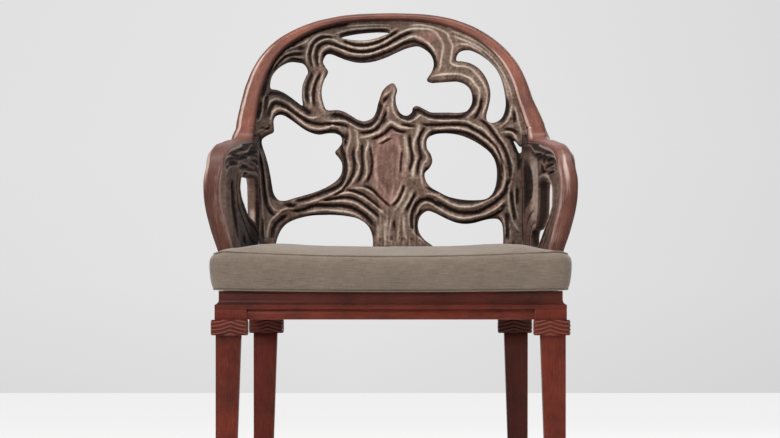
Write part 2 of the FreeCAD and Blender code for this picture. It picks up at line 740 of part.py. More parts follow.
bow_solid = bow(0.0)
for sign in (-1, 1):
    bow_solid = bow_solid.cut(dowel_solid(flipped(foot_joint, sign), up_back, hole, long_hole))
show("back_bow", finished(bow_solid))
for side, sign in (("left", -1), ("right", 1)):
    rail = arm(sign, 0.0)
    rail = rail.cut(dowel_solid(flipped(foot_joint, sign), up_back, hole, long_hole))
    rail = rail.cut(dowel_solid(flipped(post_foot, sign), Vector(0, 0, 1), hole, long_hole))
    show(side + "_arm", finished(rail))

# The carved back. Outlines of its openings, chosen by hand, in shares of the back's height:
# across from the middle and up from the seat frame.
TOP_LENS_SHARES = (
    (-0.177, 0.914), (-0.146, 0.923), (-0.110, 0.929), (-0.067, 0.933), (-0.031, 0.934),
    (-0.006, 0.931), (-0.028, 0.921), (-0.053, 0.912), (-0.085, 0.905), (-0.118, 0.904),
    (-0.150, 0.907),
)
TOP_MIDDLE_SHARES = (
    (-0.239, 0.840), (-0.229, 0.853), (-0.211, 0.853), (-0.186, 0.843), (-0.157, 0.832),
    (-0.121, 0.824), (-0.085, 0.824), (-0.049, 0.831), (-0.013, 0.844), (0.019, 0.859),
    (0.048, 0.872), (0.073, 0.880), (0.098, 0.883), (0.123, 0.872), (0.143, 0.854),
    (0.153, 0.832), (0.154, 0.810), (0.146, 0.788), (0.130, 0.761), (0.145, 0.750),
    (0.173, 0.751), (0.205, 0.753), (0.238, 0.754), (0.263, 0.746), (0.282, 0.730),
    (0.291, 0.708), (0.292, 0.682), (0.284, 0.661), (0.270, 0.646), (0.244, 0.641),
    (0.209, 0.642), (0.173, 0.642), (0.144, 0.643), (0.123, 0.653), (0.096, 0.666),
    (0.080, 0.660), (0.075, 0.643), (0.057, 0.631), (0.037, 0.638), (0.026, 0.654),
    (0.019, 0.676), (0.018, 0.701), (0.023, 0.725), (0.010, 0.748), (-0.010, 0.741),
    (-0.029, 0.721), (-0.038, 0.698), (-0.046, 0.672), (-0.052, 0.647), (-0.065, 0.623),
    (-0.092, 0.611), (-0.117, 0.616), (-0.142, 0.631), (-0.167, 0.645), (-0.192, 0.651),
    (-0.228, 0.651), (-0.240, 0.672), (-0.247, 0.701), (-0.247, 0.730), (-0.239, 0.759),
    (-0.225, 0.788), (-0.234, 0.806), (-0.243, 0.824),
)
RIGHT_CRESCENT_SHARES = (
    (0.236, 0.831), (0.242, 0.855), (0.258, 0.866), (0.281, 0.868), (0.306, 0.860),
    (0.331, 0.845), (0.356, 0.825), (0.377, 0.801), (0.393, 0.772), (0.403, 0.740),
    (0.410, 0.703), (0.412, 0.671), (0.407, 0.642), (0.396, 0.620), (0.378, 0.607),
    (0.359, 0.604), (0.345, 0.613), (0.343, 0.633), (0.350, 0.660), (0.356, 0.689),
    (0.357, 0.718), (0.349, 0.751), (0.334, 0.780), (0.313, 0.804), (0.286, 0.820),
    (0.259, 0.827),
)
UPPER_LEFT_SHARES = (
    (-0.400, 0.804), (-0.382, 0.816), (-0.361, 0.824), (-0.336, 0.823), (-0.311, 0.816),
    (-0.297, 0.789), (-0.305, 0.769), (-0.315, 0.744), (-0.318, 0.718), (-0.318, 0.693),
    (-0.316, 0.667), (-0.339, 0.682), (-0.360, 0.698), (-0.382, 0.712), (-0.405, 0.722),
    (-0.430, 0.728), (-0.431, 0.752), (-0.425, 0.774), (-0.414, 0.790),
)
LEFT_MIDDLE_SHARES = (
    (-0.396, 0.633), (-0.412, 0.627), (-0.419, 0.611), (-0.418, 0.588), (-0.419, 0.570),
    (-0.441, 0.558), (-0.459, 0.544), (-0.459, 0.523), (-0.448, 0.490), (-0.437, 0.451),
    (-0.429, 0.412), (-0.423, 0.376), (-0.416, 0.347), (-0.399, 0.326), (-0.374, 0.324),
    (-0.344, 0.333), (-0.309, 0.343), (-0.273, 0.354), (-0.241, 0.367), (-0.213, 0.382),
    (-0.188, 0.402), (-0.175, 0.427), (-0.174, 0.456), (-0.183, 0.475), (-0.199, 0.497),
    (-0.187, 0.513), (-0.175, 0.533), (-0.178, 0.555), (-0.197, 0.566), (-0.224, 0.567),
    (-0.256, 0.562), (-0.283, 0.568), (-0.310, 0.581), (-0.335, 0.599), (-0.360, 0.617),
    (-0.378, 0.628),
)
RIGHT_MIDDLE_SHARES = (
    (0.144, 0.558), (0.166, 0.565), (0.194, 0.567), (0.223, 0.565), (0.251, 0.559),
    (0.280, 0.548), (0.308, 0.533), (0.333, 0.516), (0.354, 0.498), (0.370, 0.473),
    (0.378, 0.444), (0.379, 0.412), (0.374, 0.376), (0.361, 0.347), (0.338, 0.330),
    (0.304, 0.326), (0.268, 0.327), (0.233, 0.332), (0.201, 0.341), (0.172, 0.356),
    (0.144, 0.372), (0.126, 0.395), (0.122, 0.423), (0.140, 0.444), (0.149, 0.466),
    (0.143, 0.492), (0.131, 0.510), (0.128, 0.531), (0.132, 0.548),
)
LOWER_RIGHT_SHARES = (
    (0.129, 0.287), (0.151, 0.283), (0.176, 0.271), (0.204, 0.257), (0.236, 0.245),
    (0.268, 0.241), (0.300, 0.245), (0.332, 0.254), (0.360, 0.259), (0.383, 0.257),
    (0.396, 0.240), (0.400, 0.211), (0.400, 0.172), (0.395, 0.133), (0.374, 0.106),
    (0.331, 0.098), (0.267, 0.098), (0.211, 0.112), (0.175, 0.139), (0.145, 0.166),
    (0.120, 0.185), (0.103, 0.208), (0.097, 0.237), (0.106, 0.269),
)
LOWER_LEFT_SHARES = (
    (-0.408, 0.162), (-0.403, 0.190), (-0.390, 0.219), (-0.372, 0.240), (-0.347, 0.254),
    (-0.316, 0.264), (-0.280, 0.271), (-0.241, 0.273), (-0.198, 0.273), (-0.156, 0.269),
    (-0.120, 0.261), (-0.092, 0.245), (-0.074, 0.223), (-0.065, 0.194), (-0.064, 0.158),
    (-0.074, 0.123), (-0.109, 0.101), (-0.169, 0.096), (-0.240, 0.095), (-0.311, 0.097),
    (-0.368, 0.105), (-0.400, 0.130),
)
EDGE_HOLE_SHARES = (
    (0.439, 0.538), (0.447, 0.519), (0.459, 0.494), (0.470, 0.503), (0.479, 0.514),
    (0.461, 0.518), (0.449, 0.532),
)
OPENINGS = (TOP_LENS_SHARES, TOP_MIDDLE_SHARES, RIGHT_CRESCENT_SHARES, UPPER_LEFT_SHARES,
            LEFT_MIDDLE_SHARES, RIGHT_MIDDLE_SHARES, LOWER_RIGHT_SHARES, LOWER_LEFT_SHARES,
            EDGE_HOLE_SHARES)


def spline_face(points):
    curve = Part.BSplineCurve()
    curve.interpolate(Points=points, PeriodicFlag=True)
    return Part.Face(Part.Wire([curve.toShape()]))


def back_points(shares):
    height = size("back_height")
    return [Vector(x * height, 0, size("seat_height") + z * height) for x, z in shares]


def back_slab(front, rear):
    """A raked slab, bowed in plan, between two distances from the middle of the carved back."""
    half = size("arm_half")
    sag = size("back_sag") * (half / size("back_half")) ** 2
    foot = size("back_foot_reach") + size("back_sag") - sag
    low = size("seat_height") + size("seat_gap")
    lift = size("back_rake") * size("seat_gap")

    def bend(offset):
        return Part.Arc(Vector(-half, foot + lift + offset, low), Vector(0, foot + sag + lift + offset, low),
                        Vector(half, foot + lift + offset, low)).toShape()

    near = bend(front)
    far = bend(rear)
    left = Part.makeLine(near.Vertexes[0].Point, far.Vertexes[0].Point)
    right = Part.makeLine(near.Vertexes[-1].Point, far.Vertexes[-1].Point)
    face = Part.Face(Part.Wire(Part.__sortEdges__([near, right, far, left])))
    tall = size("back_height")
    return face.extrude(Vector(0, size("back_rake") * tall, tall))


def back_outline():
    """The carved back's own outline: straight sides up to the arms, then inside the bow."""
    height = size("back_height")
    seat = size("seat_height")
    half = size("back_half")
    foot = size("bow_foot_height")
    wing = size("arm_half")
    wing_foot = foot - size("wing_drop")
    bow_line = [Vector(x * height, 0, seat + z * height) for x, z, w in BOW_SHARES]
    low = [Vector(wing, 0, foot), Vector(wing, 0, wing_foot), Vector(half, 0, wing_foot),
           Vector(half, 0, seat - size("overrun"))]
    low += [Vector(-v.x, 0, v.z) for v in reversed(low)]
    curve = Part.BSplineCurve()
    curve.interpolate(Points=[low[-1]] + bow_line + [low[0]])
    lines = [Part.makeLine(low[i], low[i + 1]) for i in range(len(low) - 1)]
    return Part.Face(Part.Wire([curve.toShape()] + lines))


def through_y(face):
    far = size("back_height")
    solid = face.extrude(Vector(0, 2 * far, 0))
    solid.translate(Vector(0, -far, 0))
    return solid


# A step runs round the openings on the front: there the panel is lower by the step's depth.
half_thick = size("back_thickness") / 2
step_faces = []
for shares in OPENINGS[:-1]:
    points = back_points(shares)
    step_faces.append(Part.Face(Part.makePolygon(points + points[:1])).makeOffset2D(size("step_width"), 2))
step_solids = [through_y(face) for face in step_faces]
steps = step_solids[0].fuse(step_solids[1:]).common(
    back_slab(-half_thick - size("overrun"), -half_thick + size("step_depth")))
carved = back_slab(-half_thick, half_thick).common(through_y(back_outline())).cut(steps)
carved = carved.cut([through_y(spline_face(back_points(shares))) for shares in OPENINGS])
grown_bow = bow(size("seat_gap"))
grown_arms = [arm(sign, size("seat_gap")) for sign in (-1, 1)]
carved = carved.cut([grown_bow] + grown_arms)
for sign in (-1, 1):
    carved = carved.cut(dowel_solid(flipped(panel_foot, sign), Vector(0, 0, 1), hole, long_hole))
show("carved_back", finished(carved))


# Carved arm panels: a slab that follows the post in front and stands straight at the back.
def side_slab():
    thick = size("side_thickness")
    rear_x = size("side_rear_half")
    stations = arm_stations()
    front_y = stations[-1][0].y + size("arm_foot_thickness") / 2 + size("seat_gap")
    rear_y_here = surface_reach(size("back_half"), size("bow_foot_height"))
    low = size("seat_height") + size("seat_gap")
    top = size("arm_rear_height") + size("overrun")
    post = [s[0] for s in reversed(stations[6:])]
    profile = [(p.x, p.z) for p in post]
    profile.append((profile[-1][0] - 0.4 * size("overrun"), top))
    profile[0] = (profile[0][0], low)

    def strip(y, share):
        inner = []
        outer = []
        for x, z in profile:
            middle = rear_x + (x - rear_x) * share
            inner.append(Vector(middle - thick / 2, y, z))
            outer.append(Vector(middle + thick / 2, y, z))
        edges = []
        for line in (inner, list(reversed(outer))):
            curve = Part.BSplineCurve()
            curve.interpolate(Points=line)
            edges.append(curve.toShape())
        edges.insert(1, Part.makeLine(inner[-1], outer[-1]))
        edges.append(Part.makeLine(outer[0], inner[0]))
        return Part.Wire(edges)

    return Part.makeLoft([strip(front_y, 1.0), strip(rear_y_here, 0.0)], True, True)


def side_frame_points(shares):
    """Points in the arm panel's own plane: along from the post to the back, up from the seat."""
    front = -size("arm_front_reach")
    run = size("back_foot_reach") - front
    rise = size("arm_rear_height") - size("seat_height")
    return [Vector(0, front + a * run, size("seat_height") + b * rise) for a, b in shares]


# Openings and blind recesses of the arm panels, as shares along and up. The left opening leans
# its point to the back, the right one steps back low down.
LEFT_SIDE_SHARES = (
    (0.640, 0.700), (0.665, 0.742), (0.75, 0.757), (0.87, 0.760), (0.97, 0.752), (1.02, 0.71),
    (1.03, 0.60), (1.03, 0.50), (1.01, 0.425), (0.93, 0.466), (0.84, 0.52), (0.75, 0.58), (0.665, 0.645),
)
LEFT_SLOT_SHARES = ((0.60, 0.345), (0.66, 0.36), (0.70, 0.33), (0.68, 0.30), (0.62, 0.305))
RIGHT_SIDE_SHARES = (
    (0.404, 0.703), (0.46, 0.728), (0.56, 0.732), (0.65, 0.722), (0.70, 0.68), (0.70, 0.56), (0.70, 0.45),
    (0.72, 0.41), (0.80, 0.402), (0.83, 0.36), (0.80, 0.31), (0.70, 0.285), (0.60, 0.303), (0.51, 0.348),
    (0.43, 0.43), (0.35, 0.51), (0.325, 0.589), (0.345, 0.655),
)
LEFT_GROOVE_SHARES = (
    (0.38, 0.70), (0.43, 0.72), (0.47, 0.66), (0.49, 0.50), (0.47, 0.36), (0.42, 0.33), (0.38, 0.42),
    (0.365, 0.55),
)
RIGHT_GROOVE_SHARES = (
    (0.93, 0.64), (0.955, 0.78), (1.00, 0.84), (1.045, 0.79), (1.06, 0.65), (1.035, 0.51), (0.985, 0.455),
    (0.945, 0.52),
)


def side_limit():
    """The arm panel's outline: upright at the post, raked at the back, free above the arm."""
    front = -size("arm_front_reach")
    low = size("seat_height") + size("seat_gap")
    top = size("arm_rear_height") + size("overrun")
    rake = size("back_rake")
    back = surface_reach(size("back_half"), size("seat_height")) + half_thick

    def at(z):
        return back + rake * (z - size("seat_height"))

    corners = [Vector(0, front, low), Vector(0, at(low), low), Vector(0, at(top), top), Vector(0, front, top)]
    face = Part.Face(Part.makePolygon(corners + corners[:1]))
    wide = size("front_half") + 2 * size("overrun")
    return face.extrude(Vector(wide, 0, 0))


def through_x(face, sign):
    return face.extrude(Vector(sign * (size("front_half") + 2 * size("overrun")), 0, 0))


def above_arm():
    """What lies above and in front of an arm, cut away from the panel under it."""
    stations = [s[0] for s in arm_stations()]
    wide = size("front_half") + 2 * size("overrun")
    top = size("arm_rear_height") + 3 * size("overrun")
    front = -size("arm_front_reach") - 2 * size("overrun")
    line = [Vector(0, c.y, c.z) for c in stations[2:-1]]
    rear_top = size("bow_foot_height") - size("wing_drop") - size("seat_gap")
    line = [Vector(0, stations[0].y + 2 * size("overrun"), rear_top), Vector(0, stations[1].y, rear_top)] + line
    line.append(Vector(0, -size("arm_front_reach"), size("seat_height") - size("overrun")))
    corners = line + [Vector(0, front, size("seat_height") - size("overrun")), Vector(0, front, top),
                      Vector(0, line[0].y, top)]
    return Part.Face(Part.makePolygon(corners + corners[:1])).extrude(Vector(wide, 0, 0))


def side_layer(solid, shift):
    layer = solid.copy()
    layer.translate(Vector(shift, 0, 0))
    return layer


def rib_grooves(shares, distance):
    """A band round an opening at a distance from it."""
    points = side_frame_points(shares)
    face = Part.Face(Part.makePolygon(points + points[:1]))
    far = face.makeOffset2D(distance + size("rib_groove_width"), 2)
    return through_x(far.cut(face.makeOffset2D(distance, 2)), 1)


side_solid = side_slab()
side_blank = side_solid.common(side_limit()).cut(above_arm()).cut(grown_arms[1])
inner_layer = side_layer(side_solid, size("side_recess") - size("side_thickness"))
groove_shift = size("side_thickness") - size("rib_groove_depth")
groove_layers = [side_layer(side_solid, shift) for shift in (groove_shift, -groove_shift)]
for side, sign, openings, groove in (
        ("left", -1, (LEFT_SIDE_SHARES, LEFT_SLOT_SHARES), LEFT_GROOVE_SHARES),
        ("right", 1, (RIGHT_SIDE_SHARES,), RIGHT_GROOVE_SHARES)):
    recess = through_x(spline_face(side_frame_points(groove)), 1).common(inner_layer)
    panel = side_blank.cut([through_x(spline_face(side_frame_points(shares)), 1) for shares in openings])
    bands = [rib_grooves(openings[0], size("rib_start") + i * size("rib_pitch")) for i in range(2)]
    ribs = [band.common(layer) for band in bands for layer in groove_layers]
    panel = finished(panel.cut([recess] + ribs))
    if sign < 0:
        panel = panel.mirror(Vector(0, 0, 0), Vector(1, 0, 0))
    show(side + "_arm_panel", panel)

# Dowels.
for side, sign in (("left", -1), ("right", 1)):
    for label, centre, along in (("bow_dowel", foot_joint, up_back), ("post_dowel", post_foot, Vector(0, 0, 1)),
                                 ("back_dowel", panel_foot, Vector(0, 0, 1))):
        show("%s_%s" % (side, label),
             dowel_solid(flipped(centre, sign), along, size("dowel_radius"), size("dowel_length")))


# The loose cushion: wider in front of the arm posts, crowned, its walls drawn in at the seams.
def cushion_plan(inset, ear_share):
    waist = size("front_half") - size("cushion_waist_inset") - inset
    half = waist + (size("cushion_overhang") + size("cushion_waist_inset")) * ear_share
    front = size("cushion_front_reach") - inset
    ear = size("cushion_ear_reach") + inset
    corners = [(half, -front), (half, -ear), (waist, -ear),
               (size("cushion_rear_half") - inset, size("cushion_rear_reach") - inset)]
    corners = corners + [(-x, y) for x, y in reversed(corners)]
    round_off = size("cushion_corner")
    points = []
    for i, (x, y) in enumerate(corners):
        p = Vector(x, y, 0)
        back = (Vector(*corners[i - 1], 0) - p).normalize()
        on = (Vector(*corners[(i + 1) % len(corners)], 0) - p).normalize()
        points += [p + back * round_off, p + (back + on) * (round_off * 0.29), p + on * round_off]
    return points


def cushion_ring(inset, z, scale=1.0, ear_share=1.0):
    middle = (size("cushion_rear_reach") - size("cushion_front_reach")) / 2
    points = [Vector(p.x * scale, middle + (p.y - middle) * scale, z) for p in cushion_plan(inset, ear_share)]
    return Part.makePolygon(points + points[:1])


# The crown in shares: rise, size in plan, and how much of the ears is left at that rise.
CROWN_SHARES = ((0.42, 0.90, 0.45), (0.74, 0.73, 0.35), (0.93, 0.48, 0.35), (1.0, 0.22, 0.35))


def cushion_solid(shrink):
    foot = size("seat_height") + size("seat_gap")
    wall = size("cushion_wall")
    crown = size("cushion_crown")
    draw = size("cushion_draw")
    rings = [cushion_ring(draw + shrink, foot + shrink), cushion_ring(0.25 * draw + shrink, foot + 0.25 * wall),
             cushion_ring(shrink, foot + 0.5 * wall), cushion_ring(0.25 * draw + shrink, foot + 0.75 * wall),
             cushion_ring(draw + shrink, foot + wall - shrink)]
    for rise, scale, ears in CROWN_SHARES:
        rings.append(cushion_ring(draw + shrink, foot + wall - shrink + rise * crown, scale, ears))
    return Part.makeLoft(rings, True, True)


def welt(z, radius):
    line = cushion_ring(size("cushion_draw"), z)
    start = line.Vertexes[0].Point
    ahead = line.Edges[0].tangentAt(0)
    across = Vector(-ahead.y, ahead.x, 0).normalize()
    corners = []
    for i in range(8):
        turn = math.pi / 4 * (i + 0.5)
        corners.append(start + across * (radius * math.cos(turn)) + Vector(0, 0, radius * math.sin(turn)))
    return line.makePipeShell([Part.makePolygon(corners + corners[:1])], True, False, 1)


seam_low = size("seat_height") + size("seat_gap") + size("welt_radius")
seam_high = size("seat_height") + size("seat_gap") + size("cushion_wall")
cover = cushion_solid(0.0)
for label, z in (("cushion_top_welt", seam_high), ("cushion_bottom_welt", seam_low)):
    show(label, welt(z, size("welt_radius")))
    cover = cover.cut(welt(z, size("welt_radius") + size("hole_gap")))
foam_inset = size("cover_thickness") + size("welt_radius") + size("foam_gap")
cover = cover.cut(cushion_solid(size("cover_thickness") + size("welt_radius") + size("hole_gap")))
cover = cover.cut(cushion_solid(foam_inset - size("hole_gap")))
show("cushion_cover", finished(cover))
show("cushion_foam", finished(cushion_solid(foam_inset).cut(cover)))

zip_strip = doc.addObject("Part::Box", "cushion_zip")
zip_strip.Label = "cushion_zip"
zip_strip.setExpression("Length", "Sizes.zip_length")
zip_strip.setExpression("Width", "Sizes.zip_thickness")
zip_strip.setExpression("Height", "Sizes.zip_width")
zip_strip.setExpression("Placement.Base.x", "Sizes.zip_length / -2")
zip_strip.setExpression("Placement.Base.y", "Sizes.cushion_rear_reach + Sizes.seat_gap / 2")
zip_strip.setExpression("Placement.Base.z",
                        "Sizes.seat_height + Sizes.seat_gap + Sizes.cushion_wall / 2 - Sizes.zip_width / 2")

doc.recompute()
for piece in doc.Objects:
    if "Invalid" in piece.State or "Error" in piece.State:
        raise RuntimeError("bad state: %s %s" % (piece.Label, piece.State))
for piece in list(doc.Objects):
    if piece.TypeId in ("PartDesign::Body", "Part::Feature", "Part::Box"):
        shape = piece.Shape
        if shape.isNull() or not shape.isValid():
            raise RuntimeError("bad shape: " + piece.Label)
        shape.exportStep("parts/%s.step" % piece.Label)
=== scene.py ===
"""Armchair with an openwork carved back: looks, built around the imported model. Metres, CAD frame."""
import json
import math

import bmesh
import bpy
import numpy as np
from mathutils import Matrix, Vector, kdtree, noise


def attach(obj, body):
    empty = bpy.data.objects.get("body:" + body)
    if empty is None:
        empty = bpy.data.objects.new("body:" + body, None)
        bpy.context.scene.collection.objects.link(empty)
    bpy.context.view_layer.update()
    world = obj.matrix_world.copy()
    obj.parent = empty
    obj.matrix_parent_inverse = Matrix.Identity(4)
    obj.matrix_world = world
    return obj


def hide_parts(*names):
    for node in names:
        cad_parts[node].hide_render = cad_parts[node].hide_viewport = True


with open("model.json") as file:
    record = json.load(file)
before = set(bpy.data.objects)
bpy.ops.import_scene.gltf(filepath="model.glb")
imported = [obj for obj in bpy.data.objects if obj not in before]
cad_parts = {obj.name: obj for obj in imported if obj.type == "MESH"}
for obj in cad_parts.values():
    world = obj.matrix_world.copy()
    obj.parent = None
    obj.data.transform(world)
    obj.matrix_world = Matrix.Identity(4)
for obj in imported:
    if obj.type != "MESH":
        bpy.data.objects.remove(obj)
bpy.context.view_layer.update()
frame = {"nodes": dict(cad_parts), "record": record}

MM = 0.001

# Sizes that the dressed pieces share with the model, in millimetres.
SEAT = 398.0
BACK_HEIGHT = 498.0
BACK_FOOT = 162.2
BACK_SAG = 20.0
BACK_RAKE = 0.19
BACK_HALF = 233.2
BACK_THICK = 18.0
BOW_FOOT = 686.5
BOW_DEPTH = 26.0
BOW_TOP_DEPTH = 28.0
ARM_HALF = 256.0
ARM_WIDTH = 28.5
ARM_FRONT_WIDTH = 30.0
ARM_FOOT_WIDTH = 25.0
ARM_THICK = 12.5
ARM_FOOT_THICK = 22.0
ARM_FRONT = 203.8
ARM_REAR_HEIGHT = 660.5
ARM_FRONT_HEIGHT = 641.0
ARM_BULGE_HEIGHT = 578.0
ARM_BULGE_HALF = 296.5
ARM_FOOT_HALF = 265.5
SIDE_THICK = 16.0
SIDE_REAR_HALF = 241.5
FRONT_HALF = 289.5
REAR_HALF = 243.3
FRAME_DEPTH = 477.7
FRONT_REACH = 283.5


def surface(x, z):
    """Middle of the carved back at a width and a height, both numbers or arrays, in millimetres."""
    return BACK_FOOT + BACK_SAG * (1 - (x / BACK_HALF) ** 2) + BACK_RAKE * (z - SEAT)


# ---------------------------------------------------------------- camera
# Where the camera stands, its focal length and the photo's width in pixels, and the frame's shift in pixels.
CAMERA_AT = (0.0, -6.2818, 0.383)
FOCAL_PX, PHOTO_WIDTH_PX = 3652, 780
SHIFT_PX = (-0.7, 81)
SENSOR = 36.0

scene = bpy.context.scene
camera_data = bpy.data.cameras.new("camera")
camera = bpy.data.objects.new("camera", camera_data)
scene.collection.objects.link(camera)
camera.location = CAMERA_AT
camera.rotation_euler = (math.radians(90), 0, 0)
camera_data.sensor_width = SENSOR
camera_data.lens = SENSOR * FOCAL_PX / PHOTO_WIDTH_PX
camera_data.shift_x, camera_data.shift_y = (px / PHOTO_WIDTH_PX for px in SHIFT_PX)
camera_data.clip_end = 100
scene.camera = camera
scene.view_settings.view_transform = "Standard"


# ---------------------------------------------------------------- nodes
class Tree:
    """A material's node tree, with short calls."""

    def __init__(self, name):
        self.material = bpy.data.materials.new(name)
        self.material.use_nodes = True
        self.nodes = self.material.node_tree.nodes
        self.links = self.material.node_tree.links
        self.nodes.clear()
        self.out = self.nodes.new("ShaderNodeOutputMaterial")
        self.shader = self.nodes.new("ShaderNodeBsdfPrincipled")
        self.links.new(self.shader.outputs[0], self.out.inputs[0])

    def put(self, value, socket):
        if isinstance(value, bpy.types.NodeSocket):
            self.links.new(value, socket)
        else:
            socket.default_value = value

    def node(self, kind, output=0, **inputs):
        """A node with values or sockets put on its named inputs. Gives one of its outputs."""
        node = self.nodes.new("ShaderNode" + kind)
        for name, value in inputs.items():
            self.put(value, node.inputs[name.replace("_", " ")])
        return node.outputs[output]

    def coords(self):
        return self.node("TexCoord", "Object")

    def attribute(self, name, output="Fac"):
        socket = self.node("Attribute", output)
        socket.node.attribute_name = name
        return socket

    def scaled(self, vector, scale):
        return self.node("Mapping", Vector=vector, Scale=scale)

    def noise(self, vector, scale, detail=3.0, rough=0.55, distortion=0.0):
        return self.node("TexNoise", "Fac", Vector=vector, Scale=scale, Detail=detail, Roughness=rough,
                         Distortion=distortion)

    def voronoi(self, vector, scale):
        return self.node("TexVoronoi", "Distance", Vector=vector, Scale=scale)

    def wave(self, vector, scale, direction, distortion, detail_scale):
        socket = self.node("TexWave", "Fac", Vector=vector, Scale=scale, Distortion=distortion,
                           Detail_Scale=detail_scale)
        socket.node.bands_direction = direction
        return socket

    def ramp(self, value, *stops):
        """Colours or greys at positions: (position, (r, g, b)) or (position, grey)."""
        socket = self.node("ValToRGB", Fac=value)
        ramp = socket.node.color_ramp
        while len(ramp.elements) < len(stops):
            ramp.elements.new(0.5)
        for element, (position, colour) in zip(ramp.elements, stops):
            element.position = position
            element.color = (*(colour if isinstance(colour, tuple) else (colour,) * 3), 1)
        return socket

    def mix(self, factor, a, b, blend="MIX"):
        node = self.nodes.new("ShaderNodeMix")
        node.data_type = "RGBA"
        node.blend_type = blend
        self.put(factor, node.inputs[0])
        for value, socket in ((a, node.inputs[6]), (b, node.inputs[7])):
            self.put((*value, 1) if isinstance(value, tuple) else value, socket)
        return node.outputs[2]

    def math(self, operation, a, b, clamp=False):
        node = self.nodes.new("ShaderNodeMath")
        node.operation = operation
        node.use_clamp = clamp
        self.put(a, node.inputs[0])
        self.put(b, node.inputs[1])
        return node.outputs[0]

    def plus(self, a, b, clamp=False):
        return self.math("ADD", a, b, clamp)

    def times(self, a, b):
        return self.math("MULTIPLY", a, b)

    def swing(self, value, amount):
        """How far a value of 0 to 1 lies from its middle, times an amount."""
        return self.times(self.math("SUBTRACT", value, 0.5), amount)

    def bump(self, height, strength, distance):
        return self.node("Bump", Height=height, Strength=strength, Distance=distance)

    def finish(self, colour, roughness, normal, **sockets):
        for name, value in (("Base Color", colour), ("Roughness", roughness), ("Normal", normal)):
            self.put(value, self.shader.inputs[name])
        for name, value in sockets.items():
            self.shader.inputs[name.replace("_", " ")].default_value = value
        return self.material


def srgb(*levels):
    """Linear colour from display levels of 0 to 255."""
    out = []
    for level in levels:
        c = level / 255
        out.append(c / 12.92 if c <= 0.04045 else ((c + 0.055) / 1.055) ** 2.4)
    return tuple(out)


def carved_material():
    """Oiled carved wood: dark in the grooves, reddish on the slopes, rubbed pale on the crests, and darkened by
    painted shade from the shade values.
    """
    t = Tree("carved_wood")
    depth = t.attribute("depth")
    grain = t.attribute("grain", "Vector")
    place = t.coords()
    cloud = t.noise(place, 26, 3)
    fine = t.noise(place, 420, 4, 0.65)
    streak = t.noise(t.scaled(grain, (60, 700, 700)), 1.0, 3, 0.6)
    wobble = t.plus(t.swing(fine, 0.24), t.swing(streak, 0.24))
    level = t.plus(depth, wobble, clamp=True)
    pale = t.ramp(level, (0.0, srgb(190, 176, 160)), (0.15, srgb(160, 143, 128)), (0.45, srgb(97, 77, 65)),
                  (0.72, srgb(50, 35, 28)), (1.0, srgb(21, 13, 10)))
    red = t.ramp(level, (0.0, srgb(172, 144, 132)), (0.3, srgb(136, 104, 93)), (0.5, srgb(109, 79, 69)),
                 (0.8, srgb(60, 36, 29)), (1.0, srgb(26, 14, 10)))
    tone = t.plus(t.attribute("redness"), t.swing(cloud, 1.1), clamp=True)
    colour = t.mix(tone, pale, red)
    # painted shade: the shade values darken the colour towards dark brown
    colour = t.mix(t.attribute("shade"), colour, t.mix(0.62, colour, srgb(27, 20, 16)))
    mottled = t.ramp(t.noise(place, 90, 4, 0.7), (0.3, 0.78), (0.62, 1.05))
    colour = t.mix(1.0, colour, mottled, "MULTIPLY")
    height = t.plus(t.times(fine, 0.5), streak)
    normal = t.bump(height, 0.4, 0.0008)
    rough = t.ramp(level, (0.0, 0.45), (0.5, 0.62), (1.0, 0.8))
    return t.finish(colour, rough, normal, Specular_IOR_Level=0.2)


def lacquer_material(name, base, dark, worn, glow, wear):
    """Worn satin lacquer on wood: cloudy, streaked along the grain, paler where it is rubbed and where the edge
    values paint a highlight, darker where the shade values paint shade.
    """
    t = Tree(name)
    grain = t.attribute("grain", "Vector")
    edge = t.attribute("edge")
    place = t.coords()
    cloud = t.noise(place, 14, 4, 0.6)
    streak = t.noise(t.scaled(grain, (22, 420, 420)), 1.0, 4, 0.62)
    fine = t.noise(t.scaled(grain, (70, 1100, 1100)), 1.0, 3, 0.7)
    colour = t.ramp(cloud, (0.28, dark), (0.52, base), (0.78, glow))
    colour = t.mix(t.ramp(streak, (0.35, 0.0), (0.75, 0.55)), colour, dark)
    colour = t.mix(t.times(t.ramp(fine, (0.45, 0.0), (0.8, 1.0)), 0.25), colour, worn)
    # the edge values hold rubbed wear at the corners and, on the bow and arms, painted highlights
    rubbed = t.plus(edge, t.swing(t.noise(place, 60, 5, 0.7), 0.6))
    rubbed = t.plus(rubbed, t.swing(streak, 1.1))
    rubbed = t.times(t.ramp(rubbed, (0.42, 0.0), (0.9, 1.0)), wear)
    colour = t.mix(rubbed, colour, worn)
    # painted shade from the shade values
    colour = t.mix(t.attribute("shade"), colour, t.mix(0.68, colour, srgb(44, 24, 22)))
    specks = t.ramp(t.voronoi(place, 260), (0.05, 0.55), (0.14, 1.0))
    colour = t.mix(1.0, colour, specks, "MULTIPLY")
    rough = t.ramp(t.noise(place, 75, 4, 0.6), (0.3, 0.36), (0.7, 0.52))
    height = t.plus(t.times(streak, 0.7), t.times(fine, 0.3))
    normal = t.bump(height, 0.3, 0.0005)
    return t.finish(colour, rough, normal, Specular_IOR_Level=0.16)


